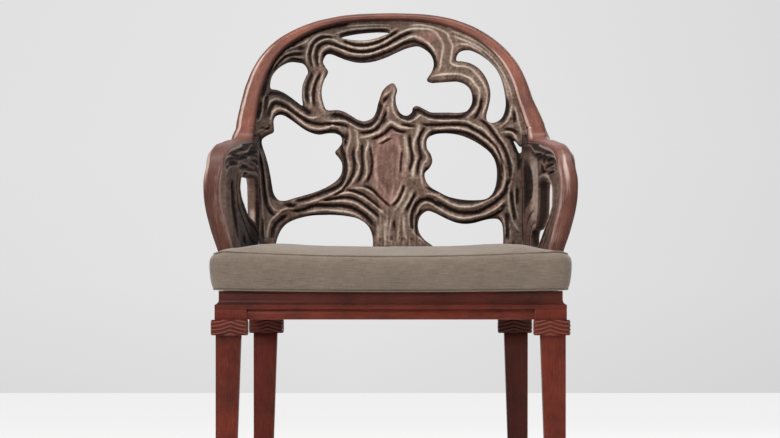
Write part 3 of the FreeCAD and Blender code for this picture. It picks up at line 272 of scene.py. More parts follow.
def linen_material():
    """Slubby plain weave in two close tones."""
    t = Tree("linen")
    weave = t.attribute("weave", "Vector")
    place = t.coords()
    across = t.wave(weave, 300, "X", 1.0, 60)
    along = t.wave(weave, 300, "Y", 1.0, 60)
    slub = t.noise(t.scaled(weave, (38, 640, 1)), 1.0, 4, 0.7)
    slub_two = t.noise(t.scaled(weave, (700, 90, 1)), 1.0, 3, 0.6)
    cloud = t.noise(place, 19, 5, 0.72)
    threads = t.math("MAXIMUM", t.times(across, slub), t.times(along, slub_two))
    tone = t.plus(t.times(slub, 0.72), t.times(slub_two, 0.28))
    colour = t.ramp(tone, (0.34, srgb(98, 87, 76)), (0.5, srgb(115, 102, 90)), (0.68, srgb(132, 118, 104)))
    colour = t.mix(1.0, colour, t.ramp(cloud, (0.3, 0.86), (0.7, 1.09)), "MULTIPLY")
    normal = t.bump(threads, 0.45, 0.0006)
    return t.finish(colour, 0.92, normal, Sheen_Weight=0.35, Sheen_Roughness=0.45, Specular_IOR_Level=0.2)


def plain_wood_material():
    """Bare wood of the hidden pieces."""
    t = Tree("plain_wood")
    place = t.coords()
    rings = t.noise(t.scaled(place, (14, 90, 90)), 1.0, 5, 0.6, 0.6)
    fibre = t.noise(t.scaled(place, (60, 900, 900)), 1.0, 3)
    colour = t.ramp(rings, (0.3, srgb(136, 108, 78)), (0.55, srgb(168, 137, 101)), (0.75, srgb(190, 160, 122)))
    colour = t.mix(t.ramp(fibre, (0.4, 0.0), (0.8, 0.4)), colour, srgb(120, 92, 64))
    return t.finish(colour, 0.7, t.bump(fibre, 0.3, 0.0004))


def steel_material():
    """Brushed steel of the screws."""
    t = Tree("screw_steel")
    scratch = t.noise(t.scaled(t.coords(), (900, 900, 200)), 1.0, 4)
    colour = t.ramp(scratch, (0.3, srgb(150, 150, 150)), (0.7, srgb(196, 196, 194)))
    return t.finish(colour, t.ramp(scratch, (0.3, 0.28), (0.7, 0.45)), t.bump(scratch, 0.15, 0.0002), Metallic=1.0)


def nylon_material():
    """Scuffed dark nylon of the glides."""
    t = Tree("glide_nylon")
    scuff = t.noise(t.coords(), 350, 4, 0.7)
    colour = t.ramp(scuff, (0.35, srgb(38, 33, 30)), (0.75, srgb(74, 68, 62)))
    return t.finish(colour, t.ramp(scuff, (0.3, 0.45), (0.7, 0.65)), t.bump(scuff, 0.2, 0.0003))


def foam_material():
    """Pale foam with fine cells."""
    t = Tree("foam")
    cells = t.voronoi(t.coords(), 900)
    colour = t.ramp(cells, (0.1, srgb(196, 186, 150)), (0.6, srgb(232, 224, 190)))
    return t.finish(colour, 0.95, t.bump(cells, 0.5, 0.0005))


LINEN = linen_material()
SLOTS = {
    "carved_wood": carved_material(),
    "lacquered_rail": lacquer_material("lacquered_rail", srgb(128, 76, 61), srgb(86, 50, 41),
                                       srgb(196, 171, 161), srgb(152, 93, 72), 0.85),
    "lacquered_frame": lacquer_material("lacquered_frame", srgb(98, 35, 22), srgb(60, 19, 11),
                                        srgb(142, 90, 74), srgb(117, 46, 30), 0.38),
    "linen": LINEN,
    "zip_tape": LINEN,
    "plain_wood": plain_wood_material(),
    "screw_steel": steel_material(),
    "glide_nylon": nylon_material(),
    "foam": foam_material(),
}
# The eased edges of the seat frame, where the lacquer is rubbed.
WORN = lacquer_material("worn_edge", srgb(118, 66, 54), srgb(88, 44, 36), srgb(150, 108, 95),
                        srgb(128, 78, 66), 0.5)


# ---------------------------------------------------------------- mesh helpers
def new_piece(name, vertices, faces, slot, replaces, body="chair"):
    """A mesh piece in metres, from coordinates in millimetres."""
    mesh = bpy.data.meshes.new(name)
    mesh.from_pydata([tuple(p) for p in np.asarray(vertices, float) * MM], [], [tuple(f) for f in faces])
    mesh.validate()
    mesh.update()
    mesh.polygons.foreach_set("use_smooth", [True] * len(mesh.polygons))
    mesh.materials.append(SLOTS[slot])
    piece = bpy.data.objects.new(name, mesh)
    scene.collection.objects.link(piece)
    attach(piece, body)
    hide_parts(*replaces)
    return piece


def set_values(piece, name, values):
    """A named number or vector on each vertex, for the materials."""
    values = np.asarray(values, np.float32)
    kind, key = ("FLOAT_VECTOR", "vector") if values.ndim == 2 else ("FLOAT", "value")
    attribute = piece.data.attributes.new(name, kind, "POINT")
    attribute.data.foreach_set(key, values.ravel())


def take_modifiers(piece):
    """Takes the piece's modifiers into its mesh."""
    mesh = bpy.data.meshes.new_from_object(piece.evaluated_get(bpy.context.evaluated_depsgraph_get()))
    piece.modifiers.clear()
    piece.data = mesh
    return mesh


def facing_out(piece):
    """Turns a closed mesh's faces outward."""
    bm = bmesh.new()
    bm.from_mesh(piece.data)
    bmesh.ops.recalc_face_normals(bm, faces=bm.faces)
    bm.to_mesh(piece.data)
    bm.free()


def smooth_noise(points, scale, seed=0.0):
    """Smooth noise of about -1 to 1 at points in millimetres."""
    return np.array([noise.noise(Vector((p[0] / scale + seed, p[1] / scale, p[2] / scale))) for p in points])


def flat_noise(u, v, scale, seed):
    """Smooth noise over a plane."""
    return smooth_noise(np.stack([u, v, u * 0], 1), scale, seed)


def curve_points(points, steps, closed=False):
    """A smooth line through points, with more between them."""
    points = [np.array(p, float) for p in points]
    count = len(points)
    out = []
    for i in range(count if closed else count - 1):
        if closed:
            a, b, c, d = (points[(i + k) % count] for k in (-1, 0, 1, 2))
        else:
            a, b, c, d = points[max(i - 1, 0)], points[i], points[i + 1], points[min(i + 2, count - 1)]
        for k in range(steps):
            t = k / steps
            out.append(a * (-0.5 * t + t ** 2 - 0.5 * t ** 3) + b * (1 - 2.5 * t ** 2 + 1.5 * t ** 3)
                       + c * (0.5 * t + 2 * t ** 2 - 1.5 * t ** 3) + d * (-0.5 * t ** 2 + 0.5 * t ** 3))
    if not closed:
        out.append(points[-1])
    return np.array(out)


def even(points, step, closed=False):
    """The same line with points a set distance apart."""
    if closed:
        points = np.vstack([points, points[:1]])
    gaps = np.linalg.norm(np.diff(points, axis=0), axis=1)
    along = np.concatenate([[0], np.cumsum(gaps)])
    count = max(2, int(round(along[-1] / step)))
    spots = np.linspace(0, along[-1], count + 1)
    out = np.stack([np.interp(spots, along, points[:, k]) for k in range(points.shape[1])], axis=1)
    return out[:-1] if closed else out


class Lines:
    """Distance from points to a set of lines in a plane. Each line fades in strength toward its ends."""

    def __init__(self, lines, step=0.8, closed=False, fade=0.0, widths=None):
        starts, ends, strengths, wide = [], [], [], []
        for i, line in enumerate(lines):
            line = even(np.asarray(line, float), step, closed)
            if closed:
                line = np.vstack([line, line[:1]])
            starts.append(line[:-1])
            ends.append(line[1:])
            spots = np.arange(len(line) - 1) + 0.5
            near = np.minimum(spots, len(line) - 1 - spots) * step
            strengths.append(np.clip(near / fade, 0.0, 1.0) if fade else near * 0 + 1)
            wide.append(near * 0 + (widths[i] if widths else 1.0))
        self.strengths = np.concatenate(strengths)
        self.widths = np.concatenate(wide)
        self.starts = np.vstack(starts)
        self.ends = np.vstack(ends)
        self.middles = (self.starts + self.ends) / 2
        self.tree = kdtree.KDTree(len(self.middles))
        for i, (u, v) in enumerate(self.middles):
            self.tree.insert((u, v, 0), i)
        self.tree.balance()

    def distance(self, points):
        """Distance of each point. The strength and width of the nearest line are kept beside it."""
        index = np.array([self.tree.find((p[0], p[1], 0))[1] for p in points])
        start = self.starts[index]
        run = self.ends[index] - start
        to = points - start
        share = np.clip((to * run).sum(1) / np.maximum((run * run).sum(1), 1e-9), 0, 1)
        self.strength, self.width = self.strengths[index], self.widths[index]
        return np.linalg.norm(to - run * share[:, None], axis=1)


def inside(points_u, points_v, loop):
    """Which grid points lie within a closed loop: a mask over rows v and columns u."""
    mask = np.zeros((len(points_v), len(points_u)), bool)
    ahead = np.roll(loop, -1, axis=0)
    for row, v in enumerate(points_v):
        cross = (loop[:, 1] > v) != (ahead[:, 1] > v)
        if not cross.any():
            continue
        a, b = loop[cross], ahead[cross]
        spots = np.sort(a[:, 0] + (v - a[:, 1]) / (b[:, 1] - a[:, 1]) * (b[:, 0] - a[:, 0]))
        for lo, hi in zip(spots[::2], spots[1::2]):
            mask[row] |= (points_u > lo) & (points_u < hi)
    return mask


def inside_one(point, loop):
    """Whether one point lies within a closed loop."""
    return inside(point[:1], point[1:], loop)[0, 0]


def plate(us, vs, field):
    """Cells of a grid where the field is below zero, cut exactly at its zero line.

    Gives plane points, faces over them and the boundary's edges, each with the material on its left."""
    step = us[1] - us[0]
    field = np.where(np.abs(field) < 0.1 * step, np.where(field < 0, -0.1, 0.1) * step, field)
    solid = field < 0
    points, index = [], {}

    def at(key):
        if key in index:
            return index[key]
        kind, r, c = key
        if kind == "p":
            spot = (us[c], vs[r])
        elif kind == "h":
            share = field[r, c] / (field[r, c] - field[r, c + 1])
            spot = (us[c] + share * step, vs[r])
        else:
            share = field[r, c] / (field[r, c] - field[r + 1, c])
            spot = (us[c], vs[r] + share * (vs[r + 1] - vs[r]))
        index[key] = len(points)
        points.append(spot)
        return index[key]

    faces, rims = [], []
    any_solid = solid[:-1, :-1] | solid[:-1, 1:] | solid[1:, :-1] | solid[1:, 1:]
    for r, c in zip(*np.nonzero(any_solid)):
        corners = [(r, c), (r, c + 1), (r + 1, c + 1), (r + 1, c)]
        sides = [("h", r, c), ("v", r, c + 1), ("h", r + 1, c), ("v", r, c)]
        flags = [solid[k] for k in corners]
        if all(flags):
            faces.append([at(("p", *k)) for k in corners])
            continue
        if flags[0] == flags[2] and flags[1] == flags[3]:
            for k in range(4):
                if flags[k]:
                    out, back = at(sides[k]), at(sides[k - 1])
                    faces.append([at(("p", *corners[k])), out, back])
                    rims.append((out, back))
            continue
        loop = []
        leave = enter = None
        for k in range(4):
            if flags[k]:
                loop.append(at(("p", *corners[k])))
            if flags[k] != flags[(k + 1) % 4]:
                cut = at(sides[k])
                loop.append(cut)
                if flags[k]:
                    leave = cut
                else:
                    enter = cut
        faces.append(loop)
        rims.append((leave, enter))
    return np.array(points), faces, rims


def openwork(us, vs, outline, loops, spacing=0.8):
    """The plate within an outline and outside its openings, and the lines of its edges."""
    grid = np.array(np.meshgrid(us, vs)).reshape(2, -1).T
    body = inside(us, vs, outline)
    for loop in loops:
        body &= ~inside(us, vs, loop)
    edge = Lines([outline] + loops, spacing, True)
    field = edge.distance(grid).reshape(body.shape) * np.where(body, -1, 1)
    return (*plate(us, vs, field), edge)


def rim_of(rims):
    """The points on a plate's boundary, in the order of their numbers."""
    return np.array(sorted({p for pair in rims for p in pair}))


def shell_faces(count, faces, rims, rows):
    """Faces of a closed shell: a front, a rear numbered on from count, and walls with rows between them."""
    place = {p: i for i, p in enumerate(rim_of(rims).tolist())}
    size = len(place)
    quads = [list(f) for f in faces] + [[count + k for k in reversed(f)] for f in faces]
    for a, b in rims:
        i, j = place[a], place[b]
        ring = [(a, b)] + [(2 * count + k * size + i, 2 * count + k * size + j) for k in range(rows)]
        ring.append((count + a, count + b))
        for (p, q), (u, v) in zip(ring, ring[1:]):
            quads.append([q, p, u, v])
    return quads


def paired(row):
    """A row of two coordinates in turn as points."""
    return np.array(row, float).reshape(-1, 2)


def smoothstep(low, high, value):
    """0 below low, 1 above high, and a soft step between. Low may be above high."""
    t = np.clip((value - low) / (high - low), 0, 1)
    return t * t * (3 - 2 * t)


# ---------------------------------------------------------------- carved back
# The bow's middle line in thousandths of the back's height: x, z above the seat, and its width there.
BOW_SHARES = np.array((
    -502, 679, 60, -483, 747, 59, -458, 805, 54, -424, 855, 48, -379, 897, 42, -315, 934, 36, -242, 961, 31, -144,
    980, 28, -10, 987, 26, 122, 982, 28, 215, 964, 32, 290, 934, 37, 352, 894, 42, 398, 851, 46, 435, 800, 50, 462,
    741, 53, 484, 672, 55,
)).reshape(-1, 3) / 1000
# Outlines of the openings in the same thousandths, x and z in turn.
TOP_LENS = (
    -177, 914, -146, 923, -110, 929, -67, 933, -31, 934, -6, 931, -28, 921, -53, 912, -85, 905, -118, 904, -150,
    907,
)
TOP_MIDDLE = (
    -239, 840, -229, 853, -211, 853, -186, 843, -157, 832, -121, 824, -85, 824, -49, 831, -13, 844, 19, 859, 48,
    872, 73, 880, 98, 883, 123, 872, 143, 854, 153, 832, 154, 810, 146, 788, 130, 761, 145, 750, 173, 751, 205, 753,
    238, 754, 263, 746, 282, 730, 291, 708, 292, 682, 284, 661, 270, 646, 244, 641, 209, 642, 173, 642, 144, 643,
    123, 653, 96, 666, 80, 660, 75, 643, 57, 631, 37, 638, 26, 654, 19, 676, 18, 701, 23, 725, 10, 748, -10, 741,
    -29, 721, -38, 698, -46, 672, -52, 647, -65, 623, -92, 611, -117, 616, -142, 631, -167, 645, -192, 651, -228,
    651, -240, 672, -247, 701, -247, 730, -239, 759, -225, 788, -234, 806, -243, 824,
)
RIGHT_CRESCENT = (
    236, 831, 242, 855, 258, 866, 281, 868, 306, 860, 331, 845, 356, 825, 377, 801, 393, 772, 403, 740, 410, 703,
    412, 671, 407, 642, 396, 620, 378, 607, 359, 604, 345, 613, 343, 633, 350, 660, 356, 689, 357, 718, 349, 751,
    334, 780, 313, 804, 286, 820, 259, 827,
)
UPPER_LEFT = (
    -400, 804, -382, 816, -361, 824, -336, 823, -311, 816, -297, 789, -305, 769, -315, 744, -318, 718, -318, 693,
    -316, 667, -339, 682, -360, 698, -382, 712, -405, 722, -430, 728, -431, 752, -425, 774, -414, 790,
)
LEFT_MIDDLE = (
    -396, 633, -412, 627, -419, 611, -418, 588, -419, 570, -441, 558, -459, 544, -459, 523, -448, 490, -437, 451,
    -429, 412, -423, 376, -416, 347, -399, 326, -374, 324, -344, 333, -309, 343, -273, 354, -241, 367, -213, 382,
    -188, 402, -175, 427, -174, 456, -183, 475, -199, 497, -187, 513, -175, 533, -178, 555, -197, 566, -224, 567,
    -256, 562, -283, 568, -310, 581, -335, 599, -360, 617, -378, 628,
)
RIGHT_MIDDLE = (
    144, 558, 166, 565, 194, 567, 223, 565, 251, 559, 280, 548, 308, 533, 333, 516, 354, 498, 370, 473, 378, 444,
    379, 412, 374, 376, 361, 347, 338, 330, 304, 326, 268, 327, 233, 332, 201, 341, 172, 356, 144, 372, 126, 395,
    122, 423, 140, 444, 149, 466, 143, 492, 131, 510, 128, 531, 132, 548,
)
LOWER_RIGHT = (
    129, 287, 151, 283, 176, 271, 204, 257, 236, 245, 268, 241, 300, 245, 332, 254, 360, 259, 383, 257, 396, 240,
    400, 211, 400, 172, 395, 133, 374, 106, 331, 98, 267, 98, 211, 112, 175, 139, 145, 166, 120, 185, 103, 208, 97,
    237, 106, 269,
)
LOWER_LEFT = (
    -408, 162, -403, 190, -390, 219, -372, 240, -347, 254, -316, 264, -280, 271, -241, 273, -198, 273, -156, 269,
    -120, 261, -92, 245, -74, 223, -65, 194, -64, 158, -74, 123, -109, 101, -169, 96, -240, 95, -311, 97, -368, 105,
    -400, 130,
)
EDGE_HOLE = (
    439, 538, 447, 519, 459, 494, 470, 503, 479, 514, 461, 518, 449, 532,
)
OPENINGS = (TOP_LENS, TOP_MIDDLE, RIGHT_CRESCENT, UPPER_LEFT, LEFT_MIDDLE, RIGHT_MIDDLE, LOWER_RIGHT,
            LOWER_LEFT, EDGE_HOLE)
# Crests of the carving: width in tenths of a mm, then x and z of each point in mm.
CRESTS = (
    (17, -94, 856, -109, 857, -123, 858, -134, 854, -143, 845, -147, 835, -150, 826, -151, 817, -150, 808, -147,
     799),
    (17, -135, 796, -139, 805, -141, 814, -140, 823, -137, 832, -134, 839, -126, 845, -118, 849, -109, 850, -100,
     847, -91, 842, -73, 836, -55, 833, -37, 835, -19, 840, -1, 850, 17, 861, 35, 868, 52, 869, 70, 867, 81, 861, 90,
     848, 94, 836, 92, 823, 90, 810, 88, 798, 83, 789),
    (17, -126, 796, -128, 805, -128, 812, -126, 821, -123, 828, -116, 834, -109, 836, -100, 834, -91, 831, -73, 824,
     -55, 822, -37, 823, -19, 829, -1, 836, 17, 845, 35, 853, 45, 854, 58, 849, 70, 839, 77, 830, 83, 819),
    (17, -103, 857, -87, 863, -69, 867, -48, 869, -26, 870, -8, 870, 2, 866),
    (17, -94, 853, -80, 849, -62, 846, -41, 846, -23, 850, -8, 856, 2, 864, 13, 871),
    (12, -82, 873, -55, 875, -28, 876, -1, 875),
    (17, 35, 875, 53, 876, 70, 873, 88, 867, 101, 859, 106, 848, 111, 837, 110, 827, 108, 816, 107, 807, 117, 801,
     129, 800, 142, 796, 152, 787, 161, 776, 168, 763, 172, 748, 171, 734, 166, 720, 163, 707),
    (17, 72, 781, 88, 785, 106, 786, 120, 786, 131, 783, 142, 778, 150, 768, 157, 758, 158, 745, 156, 732, 151, 722,
     143, 713, 134, 705),
    (17, 119, 840, 133, 840, 145, 836, 158, 828, 170, 816, 183, 803, 193, 790, 200, 775, 205, 761, 208, 745, 211,
     730),
    (17, 110, 856, 124, 850, 142, 843, 160, 833, 176, 820, 190, 804, 200, 788, 207, 772, 213, 755, 217, 739),
    (14, 106, 866, 124, 859, 142, 851, 160, 841, 177, 827, 192, 812, 204, 795, 213, 778, 220, 761, 226, 744, 232,
     726, 237, 708, 241, 690, 244, 672),
    (17, -146, 787, -151, 777, -155, 767, -156, 754, -155, 741, -151, 731),
    (17, -130, 788, -136, 778, -140, 765, -143, 750, -142, 738, -141, 727),
    (24, -118, 791, -122, 779, -125, 765, -127, 751, -126, 738, -123, 725, -119, 716),
    (17, -151, 814, -162, 816, -173, 817, -183, 815, -192, 809, -201, 800, -208, 790, -214, 777, -217, 764),
    (12, -151, 830, -164, 828, -176, 826, -189, 821, -199, 811, -208, 800, -215, 788, -220, 773, -223, 759),
    (11, -141, 854, -153, 844, -167, 837, -182, 831, -194, 822),
    (17, -225, 701, -222, 716, -219, 726, -215, 735, -206, 740, -197, 739, -188, 736, -179, 730, -170, 723, -162,
     716, -153, 711, -144, 707, -135, 707, -128, 710),
    (17, -214, 692, -213, 705, -210, 716, -204, 722, -197, 723, -188, 721, -179, 716, -170, 709, -162, 702, -153,
     695, -144, 690, -135, 688, -126, 687, -115, 689, -105, 693, -94, 691, -87, 686),
    (12, -232, 717, -228, 730, -226, 743, -224, 753),
    (12, -239, 698, -232, 705, -229, 716, -227, 728),
    (14, -236, 680, -229, 686, -220, 690, -213, 692),
    (14, -236, 662, -232, 646, -227, 628, -224, 610, -221, 592, -220, 578, -217, 564, -213, 551, -206, 542, -197,
     538),
    (13, -244, 667, -240, 646, -235, 624, -232, 603, -230, 581, -228, 560, -226, 539, -224, 514, -222, 484),
    (17, -219, 484, -218, 500, -215, 514, -210, 525, -202, 533, -193, 541, -182, 545, -170, 548, -161, 551),
    (17, -76, 695, -73, 684, -72, 673, -74, 661, -78, 648, -78, 636, -74, 623, -74, 612, -78, 600, -83, 587, -92,
     578, -104, 571, -117, 565, -129, 560, -143, 556, -156, 552),
    (17, -67, 688, -60, 681, -59, 670, -58, 657, -61, 646, -60, 632, -56, 621, -58, 611, -63, 600, -69, 589, -72,
     582),
    (17, -44, 670, -40, 661, -44, 648, -45, 636, -43, 623, -42, 611, -45, 600, -51, 590),
    (17, -115, 702, -103, 701, -90, 702, -80, 701, -73, 697, -62, 690, -51, 687, -37, 689, -28, 695, -21, 706, -16,
     718, -11, 731, -7, 738),
    (22, -58, 672, -44, 673, -30, 677, -19, 682, -10, 690, -3, 698, 2, 699, 9, 695, 18, 691, 31, 689, 42, 689),
    (17, -24, 662, -14, 668, -5, 674, 2, 680, 11, 680, 20, 677),
    (17, -17, 744, -10, 749, -3, 754, 2, 760),
    (17, 8, 765, 7, 755, 4, 744, 3, 733, 4, 722, 9, 712, 17, 706, 26, 702, 34, 701, 42, 704, 49, 709, 54, 712, 61,
     709, 70, 705, 81, 703, 97, 702, 115, 703, 129, 702, 139, 699, 148, 694, 157, 690, 166, 685, 173, 677, 180, 668,
     187, 659, 194, 648, 200, 635, 205, 623),
    (17, -7, 708, -5, 718, -3, 729),
    (26, 50, 699, 50, 686, 45, 673, 41, 661, 41, 650, 45, 639, 45, 629, 41, 618, 40, 605, 41, 593),
    (17, 75, 687, 66, 682, 60, 673, 57, 663, 58, 650, 64, 640, 65, 632, 59, 625, 56, 616, 54, 603, 56, 591, 59,
     580),
    (30, 25, 679, 27, 664, 29, 650, 29, 636, 27, 621, 26, 607),
    (18, 75, 687, 88, 688, 106, 689, 123, 688, 138, 684, 152, 677, 164, 669, 177, 659, 187, 647, 195, 633, 200, 619,
     203, 605, 202, 592, 199, 582, 194, 574, 185, 566, 174, 560, 162, 554, 149, 549, 137, 547, 123, 548, 109, 552,
     96, 559, 84, 566, 73, 570, 61, 571),
    (17, 161, 705, 171, 701, 179, 694, 186, 685, 191, 677, 196, 669, 203, 658, 209, 646, 214, 633, 218, 621, 217,
     608, 213, 594, 210, 580, 209, 565, 210, 549, 213, 535, 217, 521, 224, 509, 232, 500),
    (17, 48, 520, 47, 534, 50, 545, 57, 553, 64, 555, 73, 553, 84, 546, 96, 538, 109, 532, 123, 528, 137, 528, 151,
     531, 165, 534, 176, 539, 187, 545, 195, 552, 203, 560),
    (17, 194, 532, 200, 523, 202, 510, 203, 496, 203, 484),
    (17, 220, 585, 220, 567, 221, 548, 225, 532, 231, 520),
    (17, 213, 484, 212, 496, 210, 510, 208, 526),
    (17, 20, 595, 17, 582, 12, 571, 7, 561, 1, 554),
    (24, 27, 589, 27, 578, 23, 568, 18, 558, 13, 549, 7, 540),
    (26, 41, 580, 37, 570, 32, 559, 25, 548, 20, 537),
    (17, 52, 569, 44, 561, 38, 549, 34, 537, 33, 524, 35, 512, 41, 502, 50, 493, 63, 484),
    (17, -72, 581, -62, 581, -51, 581, -40, 577, -31, 571, -23, 562, -14, 553, -5, 544),
    (20, -97, 569, -83, 572, -71, 573, -60, 569, -49, 564, -39, 558, -28, 550, -17, 540, -8, 530),
    (17, -129, 556, -111, 557, -90, 558, -76, 557, -63, 554, -53, 548, -42, 540, -31, 531, -23, 521),
    (17, -154, 535, -141, 539, -129, 541, -115, 542, -101, 541, -86, 540, -72, 537, -62, 533, -51, 526, -40, 516,
     -33, 505, -30, 495, -28, 484),
    (24, -21, 520, -22, 505, -22, 484),
    (26, -9, 527, -10, 507, -10, 484),
    (18, 1, 528, -1, 514, -3, 500, -2, 484),
    (17, 15, 537, 15, 521, 14, 504, 11, 484),
    (22, 25, 532, 24, 514, 26, 496, 31, 484),
    (26, -32, 657, -31, 641, -29, 625, -29, 611, -24, 598, -17, 586, -9, 573, -3, 562),
    (26, 17, 664, 16, 647, 14, 629, 12, 611, 9, 595, 5, 578, 1, 566),
    (17, 191, 688, 200, 694, 207, 701, 212, 710, 214, 721, 217, 732),
    (17, 219, 730, 224, 716, 227, 701, 230, 689, 233, 676),
    (17, 195, 679, 203, 681, 212, 681, 219, 677, 223, 669, 227, 661, 232, 655),
    (17, 216, 690, 207, 689, 198, 686),
)
